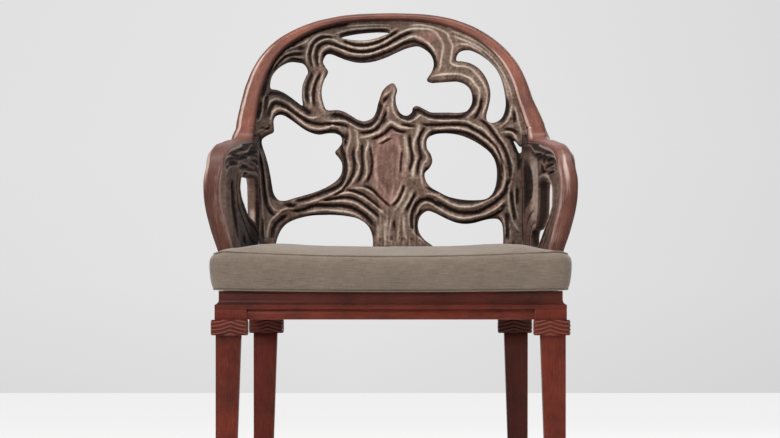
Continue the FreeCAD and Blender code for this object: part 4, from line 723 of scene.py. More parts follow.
# The grooves between them.
GROOVES = (
    (25, -102, 853, -112, 854, -121, 853, -129, 850, -136, 844, -141, 837, -143, 830, -144, 821, -143, 812, -141,
     803, -140, 796),
    (25, -128, 796, -130, 803, -132, 812, -133, 821, -132, 829, -128, 836, -122, 841, -114, 843, -103, 841, -93,
     837, -82, 833, -69, 829, -55, 827, -41, 828, -28, 831, -16, 836, -5, 841, 4, 847, 13, 852, 24, 858, 33, 861, 42,
     863),
    (27, -122, 816, -119, 823, -113, 827, -105, 828, -94, 823, -84, 819, -73, 816, -60, 814, -48, 814, -35, 817,
     -23, 820, -10, 825, 2, 830, 13, 836, 24, 842, 35, 845, 45, 845, 54, 842, 63, 837, 70, 829, 76, 821, 79, 811, 80,
     801, 77, 792),
    (22, -89, 848, -78, 844, -66, 840, -53, 839, -41, 840, -28, 843, -16, 848, -5, 854, 6, 861, 15, 866),
    (22, -93, 855, -84, 859, -73, 862, -59, 864, -41, 866, -23, 867, -8, 867, -2, 866),
    (30, -229, 739, -225, 757, -220, 775, -215, 793, -210, 808, -202, 819, -193, 829, -180, 838, -168, 845, -155,
     853, -141, 861, -127, 867, -109, 872, -91, 876, -73, 878),
    (24, -154, 823, -166, 822, -176, 821, -187, 818, -196, 810, -203, 801, -209, 790),
    (45, -151, 834, -160, 832, -169, 830),
    (22, -153, 809, -162, 812, -173, 814, -182, 812),
    (26, -140, 792, -142, 783, -146, 772, -149, 761, -150, 750, -149, 740, -147, 731),
    (22, -125, 791, -128, 783, -132, 774, -135, 765, -137, 756, -138, 745, -137, 734, -134, 725),
    (42, -221, 746, -211, 751, -201, 750, -190, 746, -179, 740, -169, 733, -158, 725, -147, 717, -138, 714),
    (27, -218, 705, -216, 718, -212, 727, -206, 733, -197, 732, -186, 727, -178, 721, -167, 713, -156, 706, -146,
     700, -135, 697, -122, 696, -110, 697, -96, 696, -81, 696),
    (22, -208, 707, -202, 714, -195, 716, -186, 714, -176, 705, -165, 696, -154, 689, -144, 684, -131, 682, -117,
     683, -103, 685, -92, 681, -83, 673, -80, 666),
    (40, -108, 711, -94, 712, -81, 708, -69, 702, -58, 696, -48, 693, -37, 694, -30, 700, -24, 709, -20, 720, -18,
     731, -15, 738),
    (40, 11, 718, 20, 710, 31, 707, 40, 713, 45, 721, 54, 719, 65, 712, 81, 709, 102, 709, 124, 709, 134, 715, 142,
     723, 148, 734, 150, 749),
    (22, 17, 697, 27, 695, 38, 693, 45, 692),
    (22, 54, 697, 65, 695, 81, 695, 106, 696, 127, 695, 138, 693, 148, 687, 159, 681, 170, 673, 178, 666, 187, 657,
     192, 646, 196, 633, 198, 619, 199, 605),
    (30, 66, 678, 81, 682, 102, 683, 123, 682, 141, 677, 159, 666, 173, 654, 184, 641, 191, 624, 194, 607, 193, 592,
     188, 578, 176, 565, 158, 559, 141, 556, 123, 557, 105, 564, 88, 573),
    (22, 161, 745, 161, 734, 159, 723, 154, 713, 147, 703),
    (27, 157, 704, 166, 700, 174, 692, 181, 682, 190, 670, 198, 660, 204, 648, 208, 635, 211, 623, 213, 610, 212,
     596, 208, 583),
    (34, 205, 746, 208, 732, 207, 718, 200, 705, 193, 696),
    (26, 198, 687, 210, 687, 220, 683, 227, 674),
    (32, 201, 674, 208, 673, 214, 669, 219, 658, 223, 648, 228, 637, 229, 624, 228, 610),
    (27, 219, 721, 220, 710, 220, 701, 217, 695),
    (22, 215, 709, 214, 700),
    (30, 80, 559, 91, 552, 105, 544, 119, 539, 137, 537, 155, 539, 169, 546, 183, 554, 195, 564, 204, 574, 208, 587,
     211, 599),
    (22, 87, 535, 105, 525, 123, 521, 141, 521, 158, 525, 176, 530, 190, 537, 204, 548),
    (38, 195, 542, 206, 552),
    (22, 214, 578, 216, 557, 219, 537, 219, 521),
    (34, 206, 539, 207, 521, 207, 503, 204, 487),
    (22, 214, 485, 221, 482),
    (22, 224, 585, 225, 567, 224, 549),
    (30, 229, 635, 235, 626, 236, 610, 238, 594),
    (22, -105, 695, -94, 696, -81, 694, -73, 687),
    (22, -58, 681, -46, 681, -35, 683, -24, 689, -16, 699, -10, 711, -7, 722),
    (24, -35, 668, -23, 673, -12, 679, -4, 686, 1, 690, 8, 687, 18, 683, 31, 682),
    (15, -21, 659, -12, 664, -3, 669, 6, 671),
    (34, -85, 663, -87, 652, -83, 639, -81, 627, -81, 614, -83, 600, -88, 589, -99, 581, -115, 575, -133, 568, -150,
     562, -171, 557),
    (22, -77, 681, -80, 668, -82, 655),
    (22, -65, 654, -67, 641, -65, 629, -65, 618, -67, 607, -72, 596, -79, 586, -88, 577),
    (22, -50, 663, -51, 650, -51, 636, -50, 621, -51, 609, -55, 598, -61, 589),
    (22, -36, 657, -35, 645, -33, 632, -33, 620, -35, 609, -39, 598, -44, 589),
    (22, -49, 586, -40, 583, -31, 577, -23, 569, -14, 560, -5, 552, 1, 548),
    (22, 1, 548, 9, 555, 16, 565, 21, 577, 24, 588),
    (14, 21, 650, 19, 636, 18, 621, 18, 605),
    (22, 34, 679, 34, 666, 36, 654, 38, 643, 38, 630, 35, 620, 33, 609),
    (22, 61, 692, 56, 682, 51, 672, 50, 661, 52, 648, 54, 637, 50, 627, 48, 614, 47, 602),
    (22, 68, 621, 63, 615, 58, 607),
    (22, 44, 575, 39, 562, 32, 550, 27, 537),
    (22, 61, 584, 73, 578, 88, 572),
    (30, 39, 502, 37, 518, 38, 534, 43, 548, 52, 558, 62, 562, 72, 560, 82, 553, 93, 546),
    (22, 50, 488, 46, 502, 45, 518, 48, 533, 57, 544),
    (22, 41, 507, 50, 496, 63, 488, 77, 481),
    (22, -81, 577, -71, 577, -58, 574, -47, 569, -37, 561, -26, 552, -15, 542),
    (22, -122, 559, -104, 562, -86, 565, -72, 564, -60, 560, -49, 554, -39, 546, -28, 537, -19, 528),
    (27, -178, 540, -166, 541, -154, 543, -143, 548, -129, 551, -111, 550, -90, 550, -72, 547, -60, 542, -49, 535,
     -38, 525, -30, 513),
    (22, -79, 584, -89, 575, -102, 568),
    (22, -150, 533, -134, 535, -117, 535, -99, 535, -83, 532, -69, 528, -54, 522, -42, 514, -33, 504, -29, 489),
    (17, 7, 527, 6, 516, 6, 505),
    (22, 1, 496, 2, 484),
    (22, -18, 493, -18, 482),
    (22, 22, 495, 20, 484),
    (22, 34, 493, 43, 484),
    (22, -15, 733, -10, 740, -5, 745, -2, 742),
    (22, -8, 709, -12, 702, -16, 693),
    (36, -221, 649, -219, 631, -216, 614, -214, 596, -213, 582, -209, 567, -201, 558),
    (24, -237, 662, -234, 644, -229, 622, -227, 603, -225, 581, -223, 564, -219, 548, -212, 537, -203, 531),
    (30, -210, 489, -208, 505, -203, 517, -194, 526, -182, 534),
    (22, -226, 528, -226, 510, -226, 489),
    (22, -236, 680, -233, 662, -228, 644),
    (30, -231, 739, -232, 726, -235, 714, -239, 701),
    (28, -219, 752, -221, 739, -222, 725, -223, 710, -225, 701),
    (22, -235, 685, -227, 688, -218, 688, -214, 696),
    (40, -191, 554, -177, 549, -163, 550),
)


def real(shares):
    """An outline in thousandths of the back's height, in millimetres."""
    return paired(shares) / 1000 * BACK_HEIGHT + (0, SEAT)


BACK_STEP, SIDE_STEP, CUSHION_STEP = 1.3, 1.5, 6.0  # grids of the openwork plates and of the cushion


def carving(rows, fade):
    """Carved lines with their widths, faded at their ends."""
    return Lines([curve_points(paired(line), 5) for width, *line in rows], 0.8, False, fade,
                 [width / 10 for width, *line in rows])


def carved_back():
    """The carved panel: openings, ridges and grooves, with its tones and painted shade."""
    bow = BOW_SHARES[:, :2] * BACK_HEIGHT + (0, SEAT)
    bow_line = curve_points([(-ARM_HALF, BOW_FOOT), *bow, (ARM_HALF, BOW_FOOT)], 8)
    low, rail_low = SEAT + 0.3, BOW_FOOT - 10
    outline = np.vstack([bow_line, [(ARM_HALF, rail_low), (BACK_HALF, rail_low), (BACK_HALF, low),
                                    (-BACK_HALF, low), (-BACK_HALF, rail_low), (-ARM_HALF, rail_low)]])
    loops = [curve_points(real(shares), 6, True) for shares in OPENINGS]
    flat, faces, rims, _ = openwork(np.arange(-ARM_HALF - 3, ARM_HALF + 3, BACK_STEP),
                                    np.arange(SEAT - 3, SEAT + BACK_HEIGHT + 3, BACK_STEP), outline, loops)
    crests, grooves = carving(CRESTS, 12.0), carving(GROOVES, 9.0)
    crest, groove = crests.distance(flat), grooves.distance(flat)
    to_hole = Lines(loops, 0.8, True).distance(flat)
    x, z = flat[:, 0], flat[:, 1]
    broad = flat_noise(x, z, 26.0, 3.0)
    small = flat_noise(x, z, 7.0, 11.0)
    fine = flat_noise(x, z, 3.6, 41.0)
    fibre = flat_noise(x, z / 9.0, 5.5, 21.0)
    shield = smoothstep(0.0, 0.3, 1.25 - np.hypot((x + 5) / 30, (z - 618) / 66))
    patch = smoothstep(0, 0.5, 1.3 - np.hypot((x - 66) / 20, (z - 855) / 11))
    ridge = crests.strength * np.exp(-(crest / (crests.width * (1 + 0.25 * broad))) ** 2)
    channel = grooves.strength * np.exp(-(groove / (grooves.width * (1 + 0.2 * small))) ** 2)
    calm = 1 - 0.75 * np.maximum(shield * smoothstep(3, 7, groove), patch)
    edge_cut = np.clip(1 - to_hole / (5.0 + 1.2 * broad), 0, 1) ** 1.1
    depth = 2.6 + 0.9 * broad * calm - 2.4 * ridge * calm - 0.9 * np.exp(-crest / 5.0) * calm
    depth = depth + 4.4 * channel + 0.35 * small + 4.6 * edge_cut + 0.5 * fibre * (0.4 + shield)
    depth = depth + 0.45 * fine * calm
    depth = np.clip(depth, 0, 11)
    front = surface(x, z) - BACK_THICK / 2 + 0.3 + depth
    ease = np.clip(1 - to_hole / 4.0, 0, 1) ** 2 * 2.4
    rear = surface(x, z) + BACK_THICK / 2 - ease - 0.3 * np.abs(broad)
    tone = 0.47 + 0.10 * broad + 0.07 * small + 0.09 * fibre - 0.10 * np.exp(-crest / 4.0)
    # a pale line inside the shield with a darker patch low at its left, and streaks at the column's foot
    inner = (np.abs(x + 3) / 24) ** 2.5 + (np.abs(z - 615) / 57) ** 2.5
    tone = tone - 0.17 * np.exp(-((inner - 1) / 0.30) ** 2) * shield
    tone = tone + 0.20 * np.exp(-((x + 17) / 9) ** 2 - ((z - 591) / 12) ** 2)
    column = smoothstep(64, 44, np.abs(x - 8))
    foot = smoothstep(505, 488, z) * column
    tone = tone + 0.26 * flat_noise(x, z / 12.0, 4.0, 61.0) * smoothstep(560, 520, z) * column
    tone = tone + shield * smoothstep(2, 6, groove) * (0.15 * fibre + 0.10 * broad) - 0.05 * patch
    worn = 0.30 + 0.13 * flat_noise(x, z, 34.0, 31.0)
    rubbed = crests.strength * np.exp(-(crest / (1.55 * crests.width * (1 + 0.3 * broad))) ** 4)
    tone = tone - worn * (0.35 * ridge + 0.65 * rubbed) * (1 - 0.5 * shield)
    tone = tone + 0.62 * channel * (1 - 0.8 * foot) + 0.22 * edge_cut + 0.10 * fine
    count = len(flat)
    # the walls get two rows between the front and the rear
    rim = rim_of(rims)
    rows = [np.stack([x[rim], front[rim] * (1 - share) + rear[rim] * share, z[rim]], 1) for share in (0.3, 0.65)]
    vertices = np.concatenate([np.stack([x, front, z], 1), np.stack([x, rear, z], 1)] + rows)
    quads = shell_faces(count, faces, rims, len(rows))
    piece = new_piece("carved_openwork", vertices, quads, "carved_wood", ("carved_back",))
    total = len(vertices)
    level = np.full(total, 0.9)
    level[:count] = np.clip(tone, 0, 1)
    back_level = 0.46 + 0.12 * broad + 0.25 * np.clip(1 - to_hole / 6, 0, 1)
    level[count:2 * count] = back_level
    red = np.full(total, 0.35)
    red[:count] = np.maximum(0.17 + 0.42 * np.clip(flat_noise(x, z, 13.0, 53.0), 0, 1),
                             np.maximum(shield * 0.95, patch))
    # painted shade: darker by the bow rail and along the left edge, and low at the right beside the arm
    by_rail = Lines([bow_line], 0.8).distance(flat)
    corner = smoothstep(1.2, 0.6, np.hypot((x + 195) / 62, (z - 790) / 70))
    corner = np.maximum(corner, smoothstep(54, 24, by_rail) * smoothstep(60, -60, x) * (0.8 + 0.4 * broad))
    painted_shade = np.clip(np.maximum(smoothstep(-196, -226, x), corner), 0, 1)
    painted_shade = np.maximum(painted_shade, 0.55 * smoothstep(190, 228, x) * smoothstep(700, 650, z))
    shade = np.full(total, 0.25)
    shade[:count] = painted_shade
    set_values(piece, "depth", level)
    set_values(piece, "redness", red)
    set_values(piece, "shade", shade)
    set_values(piece, "grain", vertices[:, [2, 0, 1]] * MM)


carved_back()


# ---------------------------------------------------------------- bars
def bar_ring(width, thick, outer, inner, count=5):
    """Section of a rail: u to the outside, v to the front. The outer front corner is cut broadly."""
    a, b = width / 2, thick / 2
    bend = 0.72
    ring, marks = [], []
    for cu, cv, cut, mark in ((a, b, outer, 1.0), (-a, b, inner, 0.75), (-a, -b, inner, 0.5), (a, -b, inner, 0.6)):
        cut = min(cut, 0.46 * min(width, thick))
        su, sv = np.sign(cu), np.sign(cv)
        start = 0 if su * sv > 0 else 90
        middle = (cu - su * cut, cv - sv * cut)
        for k in range(count):
            turn = math.radians(start + (90 if su * sv > 0 else -90) * k / (count - 1))
            du, dv = math.cos(turn), math.sin(turn)
            flat = 1 / max(du + dv, 1e-6)
            reach = 1 - bend + bend * flat
            ring.append((middle[0] + su * cut * du * reach, middle[1] + sv * cut * dv * reach))
            marks.append(mark)
    # in order round the section
    order = sorted(range(len(ring)), key=lambda i: -math.atan2(ring[i][1] / b, ring[i][0] / a))
    return np.array([ring[i] for i in order]), np.array([marks[i] for i in order])


def swept_bar(name, stations, first_ahead, last_ahead, across_of, inner, replaces, wobble, tint, mirror=False,
              run=0.0, way=1.0):
    """A rail along stations of centre, width, thickness and outer bevel."""
    centres = np.array([s[0] for s in stations], float)
    sizes = np.array([s[1:3] for s in stations], float)
    vertices, grain, edge, shade = [], [], [], []
    rings = len(stations)
    for i in range(rings):
        ahead = centres[min(i + 1, rings - 1)] - centres[max(i - 1, 0)]
        if i == 0 and first_ahead is not None:
            ahead = np.array(first_ahead, float)
        if i == rings - 1 and last_ahead is not None:
            ahead = np.array(last_ahead, float)
        ahead /= np.linalg.norm(ahead)
        across = across_of(ahead)
        through = np.cross(ahead, across)
        ring, marks = bar_ring(sizes[i][0], sizes[i][1], stations[i][3], inner)
        if i == 0:
            cuts = [max(1, int(np.linalg.norm(ring[(k + 1) % len(ring)] - ring[k]) / 2.4)) for k in range(len(ring))]
        points, near = [], []
        for k in range(len(ring)):
            a, b = ring[k], ring[(k + 1) % len(ring)]
            gap = np.linalg.norm(b - a)
            for j in range(cuts[k]):
                t = j / cuts[k]
                points.append(a + (b - a) * t)
                away = min(t, 1 - t) * gap
                near.append((marks[k] * (1 - t) + marks[(k + 1) % len(ring)] * t) * math.exp(-away / 1.8))
        if i:
            run += way * float(np.linalg.norm(centres[i] - centres[i - 1]))
        around = 0.0
        previous = points[0]
        for (u, v), mark in zip(points, near):
            around += math.hypot(u - previous[0], v - previous[1])
            previous = (u, v)
            spot = centres[i] + across * u + through * v
            push = noise.noise(Vector(spot) / 23.0) * wobble * min(1.0, min(i, rings - 1 - i) / 6)
            out = across * u + through * v
            out = out / max(np.linalg.norm(out), 1e-6)
            vertices.append(spot + out * push)
            grain.append((run, around, u * 0.3))
            # the tint gives painted highlight, added to the corner wear in the edge values, and painted shade for
            # the shade values
            pale, dark = tint(spot, 2 * u / sizes[i][0], 2 * v / sizes[i][1])
            edge.append(mark * pale[0] + pale[1])
            shade.append(dark)
    size = len(points)
    faces = []
    for i in range(rings - 1):
        for k in range(size):
            a, b = i * size + k, i * size + (k + 1) % size
            faces.append((a, b, b + size, a + size))
    for first in (0, (rings - 1) * size):
        cap = range(len(vertices), len(vertices) + size)
        for attribute in (vertices, grain, edge, shade):
            attribute += attribute[first:first + size]
        faces.append(tuple(cap) if first else tuple(reversed(cap)))
    vertices = np.array(vertices)
    if mirror:
        vertices = vertices * np.array([-1, 1, 1])
        faces = [tuple(reversed(f)) for f in faces]
    piece = new_piece(name, vertices, faces, "lacquered_rail", replaces)
    set_values(piece, "grain", np.array(grain) * MM)
    set_values(piece, "edge", edge)
    set_values(piece, "shade", shade)
    facing_out(piece)
    return run


def bow_stations():
    """Stations of the bow: centre, width, depth and outer bevel."""
    rows = [(-ARM_HALF, BOW_FOOT, ARM_WIDTH, BOW_DEPTH)]
    for x, z, w in BOW_SHARES:
        rise = max(0.0, (z * BACK_HEIGHT + SEAT - BOW_FOOT) / BACK_HEIGHT)
        rows.append((x * BACK_HEIGHT, SEAT + z * BACK_HEIGHT, w * BACK_HEIGHT,
                     BOW_DEPTH + (BOW_TOP_DEPTH - BOW_DEPTH) * rise * 2))
    rows.append((ARM_HALF, BOW_FOOT, ARM_WIDTH, BOW_DEPTH))
    rows = curve_points(rows, 9)
    stations = []
    for x, z, w, d in rows:
        flare = 5.0 * smoothstep(745, BOW_FOOT, z)
        stations.append(((x + math.copysign(flare / 2, x), surface(x, z), z), w + flare, d, 8.0))
    return stations


def bow_across(ahead):
    """The direction across the bow, in the plane of the leaning back."""
    normal = np.array([0, -1, BACK_RAKE]) / math.hypot(1, BACK_RAKE)
    across = np.cross(normal, ahead)
    return across / np.linalg.norm(across)


def bow_wear_and_painted_light(spot, u, v):
    """Painted highlight and shade across the bow, as lit from the left: pale on the outer bevel of the left half and
    the inner edge of the right half, dark on the sides turned away, the left half's outermost edge and toward the
    top; the first value scales the rubbed corner wear.
    """
    right = smoothstep(-120, 150, spot[0])
    low = smoothstep(880, 800, spot[2])
    front = smoothstep(-0.4, 0.5, v)
    outer_painted_highlight = math.exp(-((u - 0.60) / 0.16) ** 2) * (1 - right)
    inner_painted_highlight = math.exp(-((u + 0.72) / 0.2) ** 2) * right
    dark = 0.75 * smoothstep(0.3, 0.9, u) * right + 0.85 * smoothstep(-0.4, -0.9, u) * (1 - right)
    dark += 0.55 * smoothstep(0.75, 0.95, u) * (1 - right) + 0.45 * (1 - low)
    return (0.25 * low, front * (0.15 + 0.85 * low) * (0.85 * outer_painted_highlight + 0.8 * inner_painted_highlight)), dark * front


BOW_RUN = swept_bar("bow_rail", bow_stations(), (0, BACK_RAKE, 1), (0, -BACK_RAKE, -1), bow_across, 3.0,
                    ("back_bow",), 0.35, bow_wear_and_painted_light)


def arm_rows():
    """The right arm from the bow to the seat: centre, width and thickness at each point."""
    rear = np.array([ARM_HALF, surface(ARM_HALF, BOW_FOOT), BOW_FOOT])
    front = -ARM_FRONT
    run = rear[1] - front
    high, fore, bulge, seat = ARM_REAR_HEIGHT, ARM_FRONT_HEIGHT, ARM_BULGE_HEIGHT, SEAT + 0.3
    out = ARM_BULGE_HALF - rear[0]
    foot_out = ARM_FOOT_HALF - rear[0]
    fall, drop = fore - bulge, bulge - seat
    thin, wide = ARM_THICK, ARM_FRONT_WIDTH
    x, y, z = rear
    return [
        (x, y, z, ARM_WIDTH, BOW_DEPTH),
        (x + 0.02 * out, y - 0.022 * run, high + 0.4 * (z - high), ARM_WIDTH, 1.6 * thin),
        (x + 0.06 * out, y - 0.075 * run, high + 0.06 * (z - high), ARM_WIDTH, 1.15 * thin),
        (x + 0.14 * out, y - 0.2 * run, high - 0.1 * (high - fore), ARM_WIDTH, thin),
        (x + 0.30 * out, y - 0.45 * run, high - 0.4 * (high - fore), ARM_WIDTH, thin),
        (x + 0.50 * out, y - 0.7 * run, fore + 0.12 * (high - fore), ARM_WIDTH, thin),
        (x + 0.68 * out, y - 0.85 * run, fore - 0.07 * fall, ARM_WIDTH, thin),
        (x + 0.85 * out, y - 0.935 * run, fore - 0.28 * fall, wide, 1.05 * thin),
        (x + 0.92 * out, y - 0.98 * run, fore - 0.62 * fall, wide, 1.12 * thin),
        (x + out, front, bulge, wide, 1.2 * thin),
        (x + 0.95 * out, front, bulge - 0.2 * drop, wide, 1.35 * thin),
        (x + 0.72 * out, front, bulge - 0.42 * drop, 0.96 * wide, 1.5 * thin),
        (x + foot_out + 0.22 * out, front, bulge - 0.64 * drop, ARM_FOOT_WIDTH, 0.88 * ARM_FOOT_THICK),
        (x + foot_out + 0.05 * out, front, bulge - 0.82 * drop, ARM_FOOT_WIDTH, ARM_FOOT_THICK),
        (x + foot_out, front, seat, ARM_FOOT_WIDTH, ARM_FOOT_THICK),
    ]


def arm_across(ahead):
    """The direction across an arm, as level as the rail's run allows."""
    across = np.array([1.0, 0, 0]) - ahead * ahead[0]
    return across / np.linalg.norm(across)


def arm_line():
    """Stations of the right arm. The rail flares a little on its outer side where it leaves the bow."""
    stations = []
    gone = 0.0
    rows = curve_points(arm_rows(), 9)
    for i, (x, y, z, w, t) in enumerate(rows):
        gone += float(np.linalg.norm(rows[i][:3] - rows[i - 1][:3])) if i else 0.0
        flare = (5.0 + 6.0 * smoothstep(0, 24, gone) - 7.0 * smoothstep(40, 170, gone)
                 - 4.0 * smoothstep(330, 400, gone))
        bevel = 8.0 - 3.0 * smoothstep(20, 90, gone)
        stations.append(((x + flare / 2, y, z), w + flare, t, bevel))
    return stations


def arm_wear_and_painted_light(spot, u, v, left):
    """Painted highlight and shade on an arm: a painted highlight streak down the bulge, a paler inner side of the
    post, a darker red outer side and a darker foot, heavier painted shade on the left arm, a painted highlight on
    the inner under corner, and painted shade where the rail leaves the bow; near the bow it takes the bow's painted
    light.
    """
    high = spot[2]
    bulge = math.exp(-((high - 608) / 30) ** 2)
    post = smoothstep(630, 590, high)
    foot = smoothstep(480, 425, high)
    outer = smoothstep(0.10, 0.42, u)
    # a painted highlight along the inner under corner
    under = smoothstep(0.5, -0.2, v) * smoothstep(-0.35, -0.8, u) * (1 - post)
    # streak is a painted highlight; dark is painted shade, heavier on the left arm
    if left:
        streak = 0.95 * bulge * smoothstep(0.55, 0.85, u)
        dark = 0.85 + 0.08 * post * outer + 0.2 * foot - 0.55 * bulge * smoothstep(0.45, 0.75, u)
    else:
        streak = 0.95 * bulge * math.exp(-((u + 0.15) / 0.22) ** 2)
        dark = 0.50 + 0.34 * outer * smoothstep(660, 625, high) + 0.3 * foot - 0.3 * streak
    streak += (0.44 if left else 0.40) * post * (1 - outer) * (1 - 0.8 * foot)
    pale, shade = bow_wear_and_painted_light((-spot[0] if left else spot[0], spot[1], spot[2]), u, v)
    rear = smoothstep(150, 205, spot[1])
    lift = 0.35 * (1 - rear) + pale[0] * rear
    # worn carries only painted highlights; lift scales the rubbed corner wear
    worn = streak * (1 - rear) + pale[1] * rear + 1.0 * under
    # painted shade over the bright fillet where the rail leaves the bow
    joint_painted_shade = 0.5 * math.exp(-((high - 672) / 9) ** 2) * rear
    return (float(lift), float(worn)), float(min(1.0, shade * rear + dark * (1 - rear) + joint_painted_shade))


ARM_LINE = arm_line()
for side, mirrored in (("left", True), ("right", False)):
    swept_bar(side + "_arm_rail", ARM_LINE, (0, -BACK_RAKE, -1), (0, 0, -1), arm_across, 3.0,
              (side + "_arm",), 0.3, lambda spot, u, v, left=mirrored: arm_wear_and_painted_light(spot, u, v, left), mirrored,
              0.0 if mirrored else BOW_RUN, -1.0 if mirrored else 1.0)


# ---------------------------------------------------------------- arm panels
LEFT_SIDE_SHARES = (
    (0.640, 0.700), (0.665, 0.742), (0.75, 0.757), (0.87, 0.760), (0.97, 0.752), (1.02, 0.71),
    (1.03, 0.60), (1.03, 0.50), (1.01, 0.425), (0.93, 0.466), (0.84, 0.52), (0.75, 0.58), (0.665, 0.645),
)
LEFT_SLOT_SHARES = ((0.60, 0.345), (0.66, 0.36), (0.70, 0.33), (0.68, 0.30), (0.62, 0.305))
RIGHT_SIDE_SHARES = (
    (0.404, 0.703), (0.46, 0.728), (0.56, 0.732), (0.65, 0.722), (0.70, 0.68), (0.70, 0.56), (0.70, 0.45),
    (0.72, 0.41), (0.80, 0.402), (0.83, 0.36), (0.80, 0.31), (0.70, 0.285), (0.60, 0.303), (0.51, 0.348),
    (0.43, 0.43), (0.35, 0.51), (0.325, 0.589), (0.345, 0.655),
)
LEFT_GROOVE_SHARES = (
    (0.38, 0.70), (0.43, 0.72), (0.47, 0.66), (0.49, 0.50), (0.47, 0.36), (0.42, 0.33), (0.38, 0.42),
    (0.365, 0.55),
)
RIGHT_GROOVE_SHARES = (
    (0.93, 0.64), (0.955, 0.78), (1.00, 0.84), (1.045, 0.79), (1.06, 0.65), (1.035, 0.51), (0.985, 0.455),
    (0.945, 0.52),
)

# Leaf-shaped hollows of the arm panels: centre along and up, half width and half height, as shares.
LEFT_HOLLOWS = (
    (0.379, 0.830, 0.100, 0.021, 25), (0.635, 0.880, 0.090, 0.017, 30), (0.691, 0.823, 0.100, 0.023, 20),
    (0.859, 0.924, 0.075, 0.020, 35), (0.960, 0.865, 0.072, 0.018, -50), (0.733, 0.773, 0.070, 0.017, 60),
    (0.381, 0.885, 0.080, 0.012, 15), (0.240, 0.798, 0.050, 0.015, 55), (0.530, 0.930, 0.120, 0.010, 8),
)
RIGHT_HOLLOWS = (
    (0.564, 0.806, 0.040, 0.045, 0), (0.326, 0.853, 0.085, 0.013, -15), (0.368, 0.815, 0.100, 0.016, -25),
    (0.361, 0.768, 0.095, 0.015, -20), (0.627, 0.902, 0.110, 0.010, -10), (0.371, 0.896, 0.105, 0.009, -20),
    (0.500, 0.850, 0.050, 0.013, -60),
)


def side_points(shares):
    """Points of an arm panel, in shares of its depth and height."""
    return np.array([(-ARM_FRONT + a * (BACK_FOOT + ARM_FRONT), SEAT + b * (ARM_REAR_HEIGHT - SEAT))
                     for a, b in shares])


